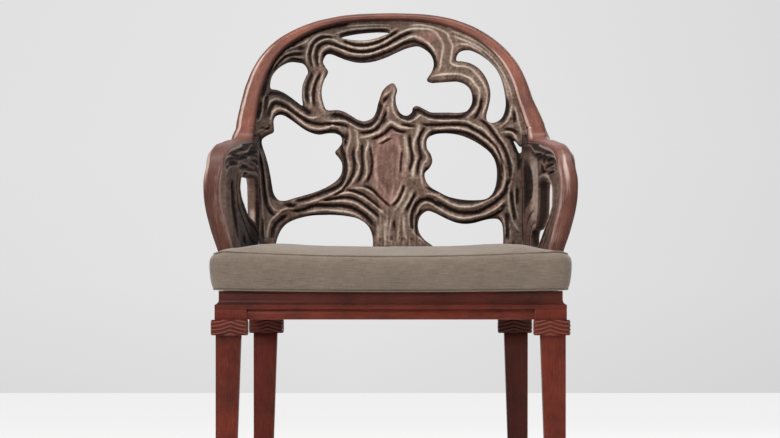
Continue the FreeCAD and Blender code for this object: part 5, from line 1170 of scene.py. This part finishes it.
def arm_panel(side, sign, openings, groove, hollows):
    """A carved panel under an arm. The sign is -1 on the left."""
    rows = arm_rows()
    post = sorted((row[2], row[0]) for row in rows[6:])
    post_z = [p[0] for p in post] + [ARM_REAR_HEIGHT + 20]
    post_x = [p[1] for p in post] + [post[-1][1] - 8]
    line = np.array([station[0] for station in ARM_LINE])
    upper = line[4:, 1:3]
    upper = upper[upper[:, 1] > SEAT + 100]
    top = np.vstack([[(surface(BACK_HALF, BOW_FOOT), BOW_FOOT - 10)], upper])
    rear_foot = surface(BACK_HALF, SEAT) + 9
    outline = np.vstack([top, [(-ARM_FRONT + 6, SEAT + 0.3), (rear_foot, SEAT + 0.3),
                               (rear_foot + BACK_RAKE * (BOW_FOOT - 10 - SEAT), BOW_FOOT - 10)]])
    outline[:, 0] = np.maximum(outline[:, 0], -ARM_FRONT + 6)
    loops = [curve_points(side_points(s), 6, True) for s in openings]
    flat, faces, rims, _ = openwork(np.arange(-ARM_FRONT - 12, 245, SIDE_STEP),
                                    np.arange(SEAT - 3, 690, SIDE_STEP), outline, loops)
    y, z = flat[:, 0], flat[:, 1]
    hole = Lines(loops, 0.8, True).distance(flat)
    sunk_loop = curve_points(side_points(groove), 6, True)
    sunk_edge = Lines([sunk_loop], 0.8, True).distance(flat)
    within = np.array([near < 60 and inside_one(p, sunk_loop) for p, near in zip(flat, sunk_edge)])
    main = Lines(loops[:1], 0.8, True).distance(flat)
    share = np.clip((y + ARM_FRONT) / (surface(BACK_HALF, BOW_FOOT) + ARM_FRONT), 0, 1.2)
    at_post = np.interp(z, post_z, post_x)
    middle = at_post + (SIDE_REAR_HALF - at_post) * share
    broad = flat_noise(y, z, 30.0, 5.0 + sign)
    small = flat_noise(y, z, 8.0, 9.0 + sign)
    fibre = flat_noise(y / 7.0, z, 6.0, 15.0 + sign)
    # two carved rings run round the opening and widen into leaf-shaped hollows
    rings = np.zeros(len(y))
    for at in (13.0, 39.0):
        rings = np.maximum(rings, np.exp(-((main - at - 1.2 * broad) / 2.4) ** 2))
    hollow = np.zeros(len(y))
    lip = np.zeros(len(y))
    for a, b, wide, high, turn in hollows:
        centre = side_points([(a, b)])[0]
        p = (y - centre[0]) / (wide * (BACK_FOOT + ARM_FRONT))
        q = (z - centre[1]) / (high * (ARM_REAR_HEIGHT - SEAT))
        c, d = math.cos(math.radians(turn)), math.sin(math.radians(turn))
        p, q = p * c + q * d, q * c - p * d
        reach = np.maximum(np.abs(p) / 1.35, np.sqrt(0.55 * p ** 2 + (1.55 * (q + 0.25 * p * p)) ** 2))
        hollow = np.maximum(hollow, smoothstep(1.15, 0.55, reach + 0.15 * small))
        lip = np.maximum(lip, np.exp(-((reach - 1.45) / 0.25) ** 2) * (0.75 + 0.5 * small))
    lip = np.maximum(lip, 0.8 * np.exp(-((main - 6.5) / 2.2) ** 2)) * (1 - hollow)
    sunk = np.where(within, smoothstep(0, 3.0, sunk_edge), 0.0)
    rim_cut = np.clip(1 - hole / 4.5, 0, 1)
    rest = smoothstep(208, 176, y)
    cut = 1.4 + 0.5 * broad - 1.1 * lip + 3.0 * rings + 4.2 * hollow + 4.6 * sunk + 2.6 * rim_cut + 0.35 * small
    cut = np.clip(cut, 0, 7.0) * rest
    # on the right the wall behind the opening is thick and its corner is left full
    full = np.exp(-(main / 16) ** 2) * smoothstep(22, 44, y) if sign > 0 else np.zeros(len(y))
    cut = cut * (1 - 0.9 * full)
    recess = np.zeros(len(y))
    if sign > 0:
        recess = smoothstep(1.1, 0.7, np.hypot((y - 140) / 34, (z - 586) / 42) + 0.12 * small)
        cut = cut + 3.2 * recess * rest
    inner = middle - SIDE_THICK / 2 + 0.3 + cut
    # the rear end closes against the edge of the back
    meet = smoothstep(100, 158, y)
    inner = inner * (1 - meet) + np.minimum(inner, BACK_HALF - 0.4 + cut) * meet
    outer_cut = np.clip(0.8 + 2.6 * rings + 2.6 * rim_cut + 0.4 * small + 0.3 * broad, 0, 5) * (1 - 0.8 * full)
    outer = middle + SIDE_THICK / 2 - 0.3 - outer_cut
    if sign > 0:
        # a rounded boss behind the rear edge of the opening
        outer = outer + 6.5 * smoothstep(118, 92, y) * smoothstep(28, 44, y) * smoothstep(500, 530, z) * \
            smoothstep(632, 600, z)
    # painted shade in a band under the arm rail, and a painted highlight line just below the rail
    to_top = Lines([top], 0.8).distance(flat) - 12.5 + 10.5 * smoothstep(60, 120, y)
    painted_shade_under_arm = smoothstep(18, 8, to_top) * smoothstep(-175, -140, y)
    painted_highlight_line = np.exp(-((to_top - 1.5) / 2.2) ** 2) * smoothstep(150, 95, y)
    if sign < 0:
        tone = 0.60 - 0.20 * smoothstep(-90, -130, y) * smoothstep(490, 550, z) + 0.12 * smoothstep(60, 120, y)
        tone = tone + 0.26 * smoothstep(-50, 0, y) * smoothstep(565, 535, z)
    else:
        # painted highlight along the ridge and painted shade in the recess
        ridge = smoothstep(46, 60, y) * smoothstep(128, 102, y) * smoothstep(500, 540, z) * smoothstep(645, 615, z)
        front_lip = np.exp(-((main - 5) / 5) ** 2) * smoothstep(0, -40, y) * smoothstep(500, 540, z)
        tone = 0.50 - 0.52 * ridge * (1 + 0.5 * broad) - 0.50 * front_lip + 0.42 * recess
        tone = tone - 0.14 * smoothstep(-90, -130, y) * smoothstep(540, 580, z)
    tone = tone + 0.10 * smoothstep(510, 480, z) + 0.10 * broad + 0.06 * small + 0.14 * fibre
    tone = tone + 0.10 * flat_noise(y, z, 3.6, 43.0) + 0.34 * painted_shade_under_arm - 0.7 * painted_highlight_line
    tone = tone - 0.24 * lip + 0.26 * rings + 0.5 * hollow + 0.42 * sunk + 0.1 * rim_cut
    count = len(flat)
    rim = rim_of(rims)
    rows = [np.stack([inner[rim] * (1 - s) + outer[rim] * s, y[rim], z[rim]], 1) for s in (0.33, 0.67)]
    vertices = np.concatenate([np.stack([inner, y, z], 1), np.stack([outer, y, z], 1)] + rows)
    vertices[:, 0] *= sign
    quads = shell_faces(count, faces, rims, len(rows))
    if sign > 0:
        quads = [q[::-1] for q in quads]
    piece = new_piece(side + "_openwork_panel", vertices, quads, "carved_wood", (side + "_arm_panel",))
    total = len(vertices)
    level = np.full(total, 0.7)
    level[:count] = np.clip(tone, 0, 1)
    level[count:2 * count] = np.clip(0.42 + 0.4 * rings + 0.08 * broad + 0.08 * fibre, 0, 1)
    rows_y, rows_z = vertices[2 * count:, 1], vertices[2 * count:, 2]
    # painted light on the rear cut walls: on the left a painted highlight band low down and painted shade under the
    # arm, on the right the walls toward the rear painted dark as in shade
    behind = smoothstep(120, 160, rows_y) if sign < 0 else smoothstep(15, 40, rows_y)
    if sign < 0:
        wall = 0.42 - 0.40 * smoothstep(548, 536, rows_z) * smoothstep(500, 512, rows_z)
        wall = wall + 0.5 * smoothstep(615, 630, rows_z)
    else:
        wall = np.full(len(rows_y), 0.9)
    level[2 * count:] = level[2 * count:] * (1 - behind) + wall * behind
    set_values(piece, "depth", level)
    set_values(piece, "redness", np.full(total, 0.45))
    set_values(piece, "shade", np.full(total, 0.1))
    set_values(piece, "grain", vertices[:, [2, 1, 0]] * MM)


arm_panel("left", -1, (LEFT_SIDE_SHARES, LEFT_SLOT_SHARES), LEFT_GROOVE_SHARES, LEFT_HOLLOWS)
arm_panel("right", 1, (RIGHT_SIDE_SHARES,), RIGHT_GROOVE_SHARES, RIGHT_HOLLOWS)


# ---------------------------------------------------------------- seat frame and legs
def welded(node):
    """A node's mesh copied, with its split corners joined again."""
    source = frame["nodes"][node]
    mesh = source.data.copy()
    bm = bmesh.new()
    bm.from_mesh(mesh)
    bmesh.ops.remove_doubles(bm, verts=bm.verts, dist=2e-5)
    bmesh.ops.dissolve_limit(bm, angle_limit=math.radians(1.5), verts=bm.verts, edges=bm.edges)
    bm.to_mesh(mesh)
    bm.free()
    for name in list(mesh.attributes.keys()):
        if name in ("custom_normal", "sharp_face", "sharp_edge"):
            mesh.attributes.remove(mesh.attributes[name])
    return mesh


def softened(name, node, slot, width, grain_order, shade=None):
    """A copy of a node with its edges eased, worn paler on the eased strips."""
    mesh = welded(node)
    mesh.name = name
    piece = bpy.data.objects.new(name, mesh)
    scene.collection.objects.link(piece)
    mesh.materials.clear()
    mesh.materials.append(SLOTS[slot])
    mesh.materials.append(WORN)
    bevel = piece.modifiers.new("eased", "BEVEL")
    bevel.width = width * MM
    bevel.segments = 2
    bevel.limit_method = "ANGLE"
    bevel.angle_limit = math.radians(35)
    bevel.material = 1
    bevel.harden_normals = False
    points = np.array([v.co for v in take_modifiers(piece).vertices])
    set_values(piece, "grain", points[:, grain_order])
    set_values(piece, "edge", np.zeros(len(points)))
    set_values(piece, "shade", shade(points / MM) if shade else np.zeros(len(points)))
    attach(piece, "chair")
    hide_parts(node)


for side in ("front", "rear", "left", "right"):
    order = [0, 1, 2] if side in ("front", "rear") else [1, 0, 2]
    # painted shade on the upper faces of the apron rails under the cushion, a little lighter toward the right
    softened(side + "_apron_rail", side + "_frame_rail", "lacquered_frame", 1.3, order,
             lambda p: 0.08 + smoothstep(366, 378, p[:, 2]) * (0.74 - 0.2 * smoothstep(-60, 200, p[:, 0])))
    softened(side + "_lower_rail", side + "_under_rail", "lacquered_frame", 1.0, order)


# Heights of a leg from its top to the glide, and the widths of its block, collar and shaft.
LEG_TOP, BLOCK_FOOT, COLLAR_FOOT, SHAFT_END, GLIDE_TOP = 368.0, 350.5, 325.0, 4.8, 4.0
BLOCK, COLLAR, SHAFT_TOP, SHAFT_FOOT = 53.5, 60.0, 41.3, 30.5
OVERHANG, SET_BACK = 6.0, 1.7  # the collar over the block, and the shaft behind the collar
PER_SIDE, COLLAR_ROWS, SHAFT_ROWS, WAVES = 26, 30, 14, 4.0


def leg_ring(half_size, z, radius, x0, y0, push):
    """A square ring with many points along each side, and a mark of how near a corner each point is."""
    points, marks = [], []
    for k in range(4):
        turn = math.radians(90 * k)
        c, s = math.cos(turn), math.sin(turn)
        for j in range(PER_SIDE):
            t = -1 + 2 * j / PER_SIDE
            along = t * half_size
            away = half_size - abs(along)
            out = half_size
            if away < radius:
                out += math.sqrt(max(radius ** 2 - (radius - away) ** 2, 0)) - radius
            if push:
                out += push(t, z)
            points.append((x0 + c * out - s * along, y0 + s * out + c * along, z))
            marks.append(math.exp(-away / 2.0))
    return points, marks


def leg(end, side, sx, sy):
    """Block, collar with wavy carved lines, and a square shaft tapered on its inner sides."""
    front = end == "front"
    half = FRONT_HALF if front else REAR_HALF
    edge_y = -FRONT_REACH if front else FRAME_DEPTH - FRONT_REACH
    block_x, block_y = sx * (half - BLOCK / 2), edge_y - sy * BLOCK / 2
    reach = COLLAR / 2 - OVERHANG
    collar_x, collar_y = sx * (half - reach), edge_y - sy * reach
    outer_x, outer_y = collar_x + sx * (reach - SET_BACK), collar_y + sy * (reach - SET_BACK)
    rise = BLOCK_FOOT - COLLAR_FOOT

    def hump(t):
        return 5.2 * math.exp(-((t + 0.10 * sx) / 0.52) ** 2) + 1.3 * math.exp(-((t + 0.10 * sx) / 0.16) ** 2)

    def groove(t, z):
        band = math.sin(2 * math.pi * WAVES * (z - hump(t) - COLLAR_FOOT) / rise - 0.6)
        return band - 1.0 if 0.02 < (z - COLLAR_FOOT) / rise < 0.97 else 0.0

    rows = [(h, z, r, block_x, block_y, None) for z, h, r in (
        (LEG_TOP, 26.0, 1.0), (LEG_TOP - 1.0, 26.75, 1.5), (BLOCK_FOOT + 1.2, 26.75, 1.5), (BLOCK_FOOT, 26.6, 1.5))]
    for k in range(COLLAR_ROWS + 1):
        t = k / COLLAR_ROWS
        rows.append((COLLAR / 2 - 1.2 * (2 * t - 1) ** 6, BLOCK_FOOT - 0.2 - (rise - 0.2) * t, 2.4,
                     collar_x, collar_y, groove))
    shaft = [(COLLAR_FOOT - 0.2, SHAFT_TOP - 1.0)]
    for k in range(SHAFT_ROWS + 1):
        t = k / SHAFT_ROWS
        shaft.append((COLLAR_FOOT - 1.2 - (COLLAR_FOOT - 1.2 - SHAFT_END) * t,
                      SHAFT_TOP + (SHAFT_FOOT - SHAFT_TOP) * t))
    rows += [(w / 2, z, 1.4, outer_x - sx * w / 2, outer_y - sy * w / 2, None) for z, w in shaft]
    rows.append((SHAFT_FOOT / 2 - 0.8, GLIDE_TOP, 1.4, rows[-1][3], rows[-1][4], None))

    vertices, faces, edge = [], [], []
    size = 4 * PER_SIDE
    crest = 1.15 if front else 0.75
    for h, z, r, x0, y0, push in rows:
        points, marks = leg_ring(h, z, r, x0, y0, push)
        dips = [max(0.0, 1.0 + push(-1 + 2 * j / PER_SIDE, z)) if push else 0.0 for j in range(PER_SIDE)] * 4
        vertices += points
        edge += [max(0.7 * m, crest * d) for m, d in zip(marks, dips)]
    for i in range(len(rows) - 1):
        for k in range(size):
            a, b = i * size + k, i * size + (k + 1) % size
            faces.append((a + size, b + size, b, a))
    faces.append(tuple(range(size)))
    faces.append(tuple(reversed(range((len(rows) - 1) * size, len(rows) * size))))
    piece = new_piece("%s_%s_carved_leg" % (end, side), vertices, faces, "lacquered_frame",
                      ("%s_%s_leg" % (end, side),))
    facing_out(piece)
    piece.data.set_sharp_from_angle(angle=math.radians(48))
    vertices = np.array(vertices)
    set_values(piece, "grain", vertices[:, [2, 0, 1]] * MM)
    set_values(piece, "edge", edge)
    # painted shade: the rear legs darker, the right one more, and darker still on their collars under the seat frame
    painted_shade = 0.0 if front else (0.22 if side == "left" else 0.80)
    painted_shade = painted_shade + (0.0 if front else 0.5) * smoothstep(315, 328, vertices[:, 2])
    set_values(piece, "shade", np.clip(painted_shade, 0, 1))


for end, sy in (("front", -1), ("rear", 1)):
    for side, sx in (("left", -1), ("right", 1)):
        leg(end, side, sx, sy)


# ---------------------------------------------------------------- cushion
CUSHION_HALF, WAIST_HALF, CUSHION_REAR_HALF = 296.0, 250.5, 232.5
CUSHION_FRONT, CUSHION_REAR, EAR = 287.8, 144.2, 219.8
WALL, CROWN, DRAW = 62.0, 19.0, 4.0
BASE = SEAT + 0.3
# The cloth run that rounds the case: voxel and greatest shift in metres, held strips by the seams in millimetres.
VOXEL, MOST_SHIFT = 0.0052, 0.006
HELD_NEAR, HELD_SEAM, HELD_UNDER = 9, 4.5, 5
CLOTH_FRAMES = 20


def cushion_loop(inset=0.0):
    """The cushion's outline from above, with its front corners round the arm posts."""
    corners = [(CUSHION_HALF - inset, -CUSHION_FRONT + inset, 18), (CUSHION_HALF - inset, -EAR - inset, 12),
               (WAIST_HALF - inset, -EAR - inset, 10), (CUSHION_REAR_HALF - inset, CUSHION_REAR - inset, 18)]
    corners = corners + [(-x, y, r) for x, y, r in reversed(corners)]
    points = []
    for i, (x, y, radius) in enumerate(corners):
        p = np.array([x, y])
        back = np.array(corners[i - 1][:2]) - p
        on = np.array(corners[(i + 1) % len(corners)][:2]) - p
        back, on = back / np.linalg.norm(back), on / np.linalg.norm(on)
        a, b = p + back * radius, p + on * radius
        for k in range(7):
            t = k / 6
            points.append(a * (1 - t) ** 2 + p * 2 * t * (1 - t) + b * t ** 2)
    return np.array(points)


def seam_top(x, y):
    """The top seam sags in the middle of the front."""
    ends = np.clip(np.abs(x) / 290, 0, 1) ** 2
    near = smoothstep(-150, -280, y)
    corner = smoothstep(274, 294, np.abs(x))
    return BASE + WALL + near * (-6.0 + 9.0 * ends) + (1 - near) * 0.5 - 5.0 * corner


def seam_low(x, y):
    """The bottom seam, nearly level."""
    near = smoothstep(-275, -288, y)
    ends = np.clip(np.abs(x) / 290, 0, 1) ** 2
    return BASE + 2.6 + near * (-4.6 + 3.6 * ends)


def cushion():
    """The cushion's case: crowned on top, drawn in at its seams, with walls that bulge."""
    loop = even(cushion_loop(DRAW), 3.0, True)
    flat, faces, rims, edge = openwork(np.arange(-CUSHION_HALF - 6, CUSHION_HALF + 6, CUSHION_STEP),
                                       np.arange(-CUSHION_FRONT - 6, CUSHION_REAR + 6, CUSHION_STEP), loop, [], 1.0)
    x, y = flat[:, 0], flat[:, 1]
    d = edge.distance(flat)
    crown = (CROWN - 4.5) * (1 - np.exp(-d / 30)) + 2.5 * (1 - np.exp(-d / 8))
    broad = flat_noise(x, y, 90, 2.0)
    # the top is pressed in where it is sat on, and falls to the front corners
    crown = crown * (1 - np.where(x > 0, 0.85, 0.5) * smoothstep(215, 288, np.abs(x)))
    crown = crown - 7.0 * smoothstep(205, 95, np.abs(x)) * (1 - np.exp(-d / 40))
    crown = crown + 2.5 * np.exp(-((np.abs(x) - 215) / 24) ** 2) * (1 - np.exp(-d / 10))
    top = seam_top(x, y) + crown + 1.6 * broad * (1 - np.exp(-d / 40))
    low = seam_low(x, y) - 1.0 + 0.8 * (1 - np.exp(-d / 12))
    low = np.maximum(low, np.where(d > 14, BASE + 0.5, low))
    count = len(flat)
    vertices = [np.stack([x, y, top], 1), np.stack([x, y, low], 1)]
    rim = rim_of(rims)
    away = []
    for p in rim:
        at = edge.tree.find((x[p], y[p], 0))[1]
        run = edge.ends[at] - edge.starts[at]
        run = run / np.linalg.norm(run)
        away.append((run[1], -run[0]))
    away = np.array(away)
    outward = np.array([inside_one(p, loop) for p in flat[rim] + away * 3])
    away[outward] *= -1
    levels = 9
    for k in range(1, levels):
        t = k / levels
        bulge = 3.3 * (1 - math.exp(-t / 0.07)) * (1 - 0.85 * t ** 1.5) + 0.9 * math.sin(math.pi * t)
        free = 4.2 * (1 - math.exp(-t / 0.07)) * (1 - 0.6 * t ** 1.5)
        bulge = bulge + free * smoothstep(-EAR - 4, -EAR - 22, y[rim])[:, None]
        spot = flat[rim] + away * bulge
        vertices.append(np.stack([spot[:, 0], spot[:, 1], top[rim] * (1 - t) + low[rim] * t], 1))
    vertices = np.concatenate(vertices)
    quads = shell_faces(count, faces, rims, levels - 1)
    piece = new_piece("cushion_case", vertices, quads, "linen", ("cushion_cover", "cushion_foam"),
                      "cushion")
    puff(piece, loop)
    points = np.array([v.co for v in piece.data.vertices])
    normals = np.array([v.normal for v in piece.data.vertices])
    # the weave lies flat on the top and runs round the walls
    wall = smoothstep(0.75, 0.45, np.abs(normals[:, 2]))
    sideways = np.abs(normals[:, 0]) > np.abs(normals[:, 1])
    u = np.where(sideways & (wall > 0.5), points[:, 1], points[:, 0])
    v = np.where(wall > 0.5, points[:, 2], points[:, 1])
    set_values(piece, "weave", np.stack([u, v, points[:, 2] * 0], 1))


def puff(piece, loop):
    """Blows the case up a little with cloth, held at its seams, then keeps the result."""
    modifier = piece.modifiers.new("even", "REMESH")
    modifier.mode = "VOXEL"
    modifier.voxel_size = VOXEL
    mesh = take_modifiers(piece)
    rest = np.array([v.co for v in mesh.vertices])
    mm = rest / MM
    near = Lines([loop], 1.0, True).distance(mm[:, :2])
    at_top = np.abs(mm[:, 2] - seam_top(mm[:, 0], mm[:, 1]))
    at_low = np.abs(mm[:, 2] - seam_low(mm[:, 0], mm[:, 1]))
    group = piece.vertex_groups.new(name="held")
    for i in range(len(mm)):
        if near[i] < HELD_NEAR and min(at_top[i], at_low[i]) < HELD_SEAM:
            group.add([i], 1.0, "REPLACE")
        elif mm[i, 2] < BASE + HELD_UNDER:
            group.add([i], 0.9, "REPLACE")
    cloth = piece.modifiers.new("cloth", "CLOTH")
    settings = cloth.settings
    settings.quality = 6
    settings.mass = 0.35
    settings.tension_stiffness = 22
    settings.compression_stiffness = 22
    settings.bending_stiffness = 0.8
    settings.use_pressure = True
    settings.uniform_pressure_force = 4.0
    settings.vertex_group_mass = "held"
    settings.effector_weights.gravity = 0.0
    cloth.point_cache.frame_start = 1
    cloth.point_cache.frame_end = CLOTH_FRAMES
    for step in range(1, CLOTH_FRAMES + 1):
        scene.frame_set(step)
    evaluated = piece.evaluated_get(bpy.context.evaluated_depsgraph_get())
    moved = np.array([v.co for v in evaluated.data.vertices])
    piece.modifiers.clear()
    scene.frame_set(1)
    shift = moved - rest
    length = np.linalg.norm(shift, axis=1, keepdims=True)
    shift = shift * np.minimum(1.0, MOST_SHIFT / np.maximum(length, 1e-9))
    mesh.vertices.foreach_set("co", (rest + shift).ravel())
    mesh.update()
    smooth = piece.modifiers.new("smooth", "SUBSURF")
    smooth.levels = smooth.render_levels = 1
    mesh = take_modifiers(piece)
    mesh.polygons.foreach_set("use_smooth", [True] * len(mesh.polygons))
    mesh.materials.clear()
    mesh.materials.append(LINEN)


def welt(name, height, node, inset, radius):
    """A piped seam round the cushion: a closed tube of the same linen."""
    loop = even(cushion_loop(inset), 3.0, True)
    x, y = loop[:, 0], loop[:, 1]
    centre = np.stack([x, y, height(x, y)], 1)
    around = 10
    vertices, faces, weave = [], [], []
    total = len(centre)
    for i in range(total):
        ahead = centre[(i + 1) % total] - centre[i - 1]
        ahead = ahead / np.linalg.norm(ahead)
        across = np.cross(ahead, (0, 0, 1))
        across = across / np.linalg.norm(across)
        up = np.cross(across, ahead)
        for k in range(around):
            turn = 2 * math.pi * k / around
            r = radius * (1 + 0.05 * noise.noise(Vector(centre[i]) / 9))
            vertices.append(centre[i] + across * r * math.cos(turn) + up * r * math.sin(turn))
            weave.append((i * 0.003 + k * 0.0012, k * 0.0016 - i * 0.003, 0))
            j, l = (i + 1) % total, (k + 1) % around
            faces.append((i * around + k, i * around + l, j * around + l, j * around + k))
    piece = new_piece(name, vertices, faces, "linen", (node,), "cushion")
    set_values(piece, "weave", weave)
    facing_out(piece)


cushion()
welt("upper_seam_piping", lambda x, y: seam_top(x, y) + 0.6, "cushion_top_welt", DRAW + 0.9, 1.3)
welt("lower_seam_piping", lambda x, y: seam_low(x, y) - 0.2, "cushion_bottom_welt", DRAW + 0.2, 1.3)

# ---------------------------------------------------------------- nodes kept as they are
replaced = {"carved_back", "back_bow", "left_arm", "right_arm", "left_arm_panel", "right_arm_panel",
            "cushion_cover", "cushion_foam", "cushion_top_welt", "cushion_bottom_welt"}
slot_of = {part["node"]: part["material_slot"] for part in frame["record"]["subparts"]}
for node, item in frame["nodes"].items():
    if node in replaced or node.endswith("_leg") or "_rail" in node:
        continue
    finish = SLOTS[slot_of[node]]
    if not item.material_slots:
        item.data.materials.append(finish)
    for spot in item.material_slots:
        spot.material = finish

# ---------------------------------------------------------------- stage and light
def plane(name, corners, material):
    """A flat sheet of the stage."""
    mesh = bpy.data.meshes.new(name)
    mesh.from_pydata(corners, [], [(0, 1, 2, 3)])
    mesh.materials.append(material)
    item = bpy.data.objects.new(name, mesh)
    scene.collection.objects.link(item)


def shown_material(name, diffuse, shown, share):
    """Diffuse for the light it gives, with the shown tone mixed in for the camera and reflections."""
    t = Tree(name)
    t.nodes.remove(t.shader)
    path = t.nodes.new("ShaderNodeLightPath")
    seen = t.math("MAXIMUM", t.math("MAXIMUM", path.outputs["Is Camera Ray"], path.outputs["Is Glossy Ray"]),
                  path.outputs["Is Transmission Ray"])
    plain = t.nodes.new("ShaderNodeBsdfDiffuse")
    t.put((*diffuse, 1), plain.inputs["Color"])
    glow = t.nodes.new("ShaderNodeEmission")
    t.put(shown, glow.inputs["Color"])
    join = t.nodes.new("ShaderNodeMixShader")
    t.put(t.times(seen, share), join.inputs[0])
    t.put(plain.outputs[0], join.inputs[1])
    t.put(glow.outputs[0], join.inputs[2])
    t.put(join.outputs[0], t.out.inputs[0])
    return t, t.material


WALL_Y = 8.76
tree, wall_material = shown_material("backdrop", (0.75, 0.75, 0.75), (1, 1, 1, 1), 1.0)
spot = tree.nodes.new("ShaderNodeSeparateXYZ")
tree.put(tree.coords(), spot.inputs[0])
along = tree.math("DIVIDE", tree.plus(spot.outputs["X"], 1.7), 3.4, clamp=True)
side_tone = tree.ramp(along, (0.0, srgb(225, 225, 225)), (0.45, srgb(230, 230, 230)), (0.72, srgb(225, 225, 225)),
                      (1.0, srgb(219, 219, 220)))
rise = tree.math("DIVIDE", spot.outputs["Z"], 2.0, clamp=True)
high_tone = tree.ramp(rise, (0.0, 0.93), (0.22, 0.985), (0.5, 1.0), (1.0, 0.985))
glow = [n for n in tree.nodes if n.type == "EMISSION"][0]
tree.put(tree.mix(1.0, side_tone, high_tone, "MULTIPLY"), glow.inputs["Color"])
plane("backdrop", [(-8, WALL_Y, 0), (8, WALL_Y, 0), (8, WALL_Y, 6), (-8, WALL_Y, 6)], wall_material)
tree, floor_material = shown_material("floor", (0.86, 0.86, 0.86), (1, 1, 1, 1), 0.8)
plane("floor", [(-8, -9, 0), (8, -9, 0), (8, WALL_Y, 0), (-8, WALL_Y, 0)], floor_material)


def lamp(name, place, aim, width, height, watts, tint=(1, 1, 1)):
    """A soft lamp that the camera doesn't see."""
    data = bpy.data.lights.new(name, "AREA")
    data.shape = "RECTANGLE"
    data.size, data.size_y = width, height
    data.energy = watts
    data.color = tint
    item = bpy.data.objects.new(name, data)
    scene.collection.objects.link(item)
    item.location = place
    item.rotation_euler = (Vector(aim) - Vector(place)).to_track_quat("-Z", "Y").to_euler()
    item.visible_camera = False


lamp("key", (-2.3, -3.0, 2.9), (0, 0, 0.55), 1.6, 1.6, 96)
lamp("fill", (2.9, -3.2, 1.7), (0, 0, 0.5), 1.8, 1.8, 26)
lamp("over", (0.1, -0.3, 3.2), (0, 0, 0.5), 1.8, 1.8, 92)
lamp("back", (1.8, 3.4, 2.4), (0, 0, 0.6), 1.5, 1.5, 38)
world = bpy.data.worlds.new("world")
scene.world = world
world.use_nodes = True
world.node_tree.nodes["Background"].inputs["Color"].default_value = (1, 1, 1, 1)
world.node_tree.nodes["Background"].inputs["Strength"].default_value = 0.36
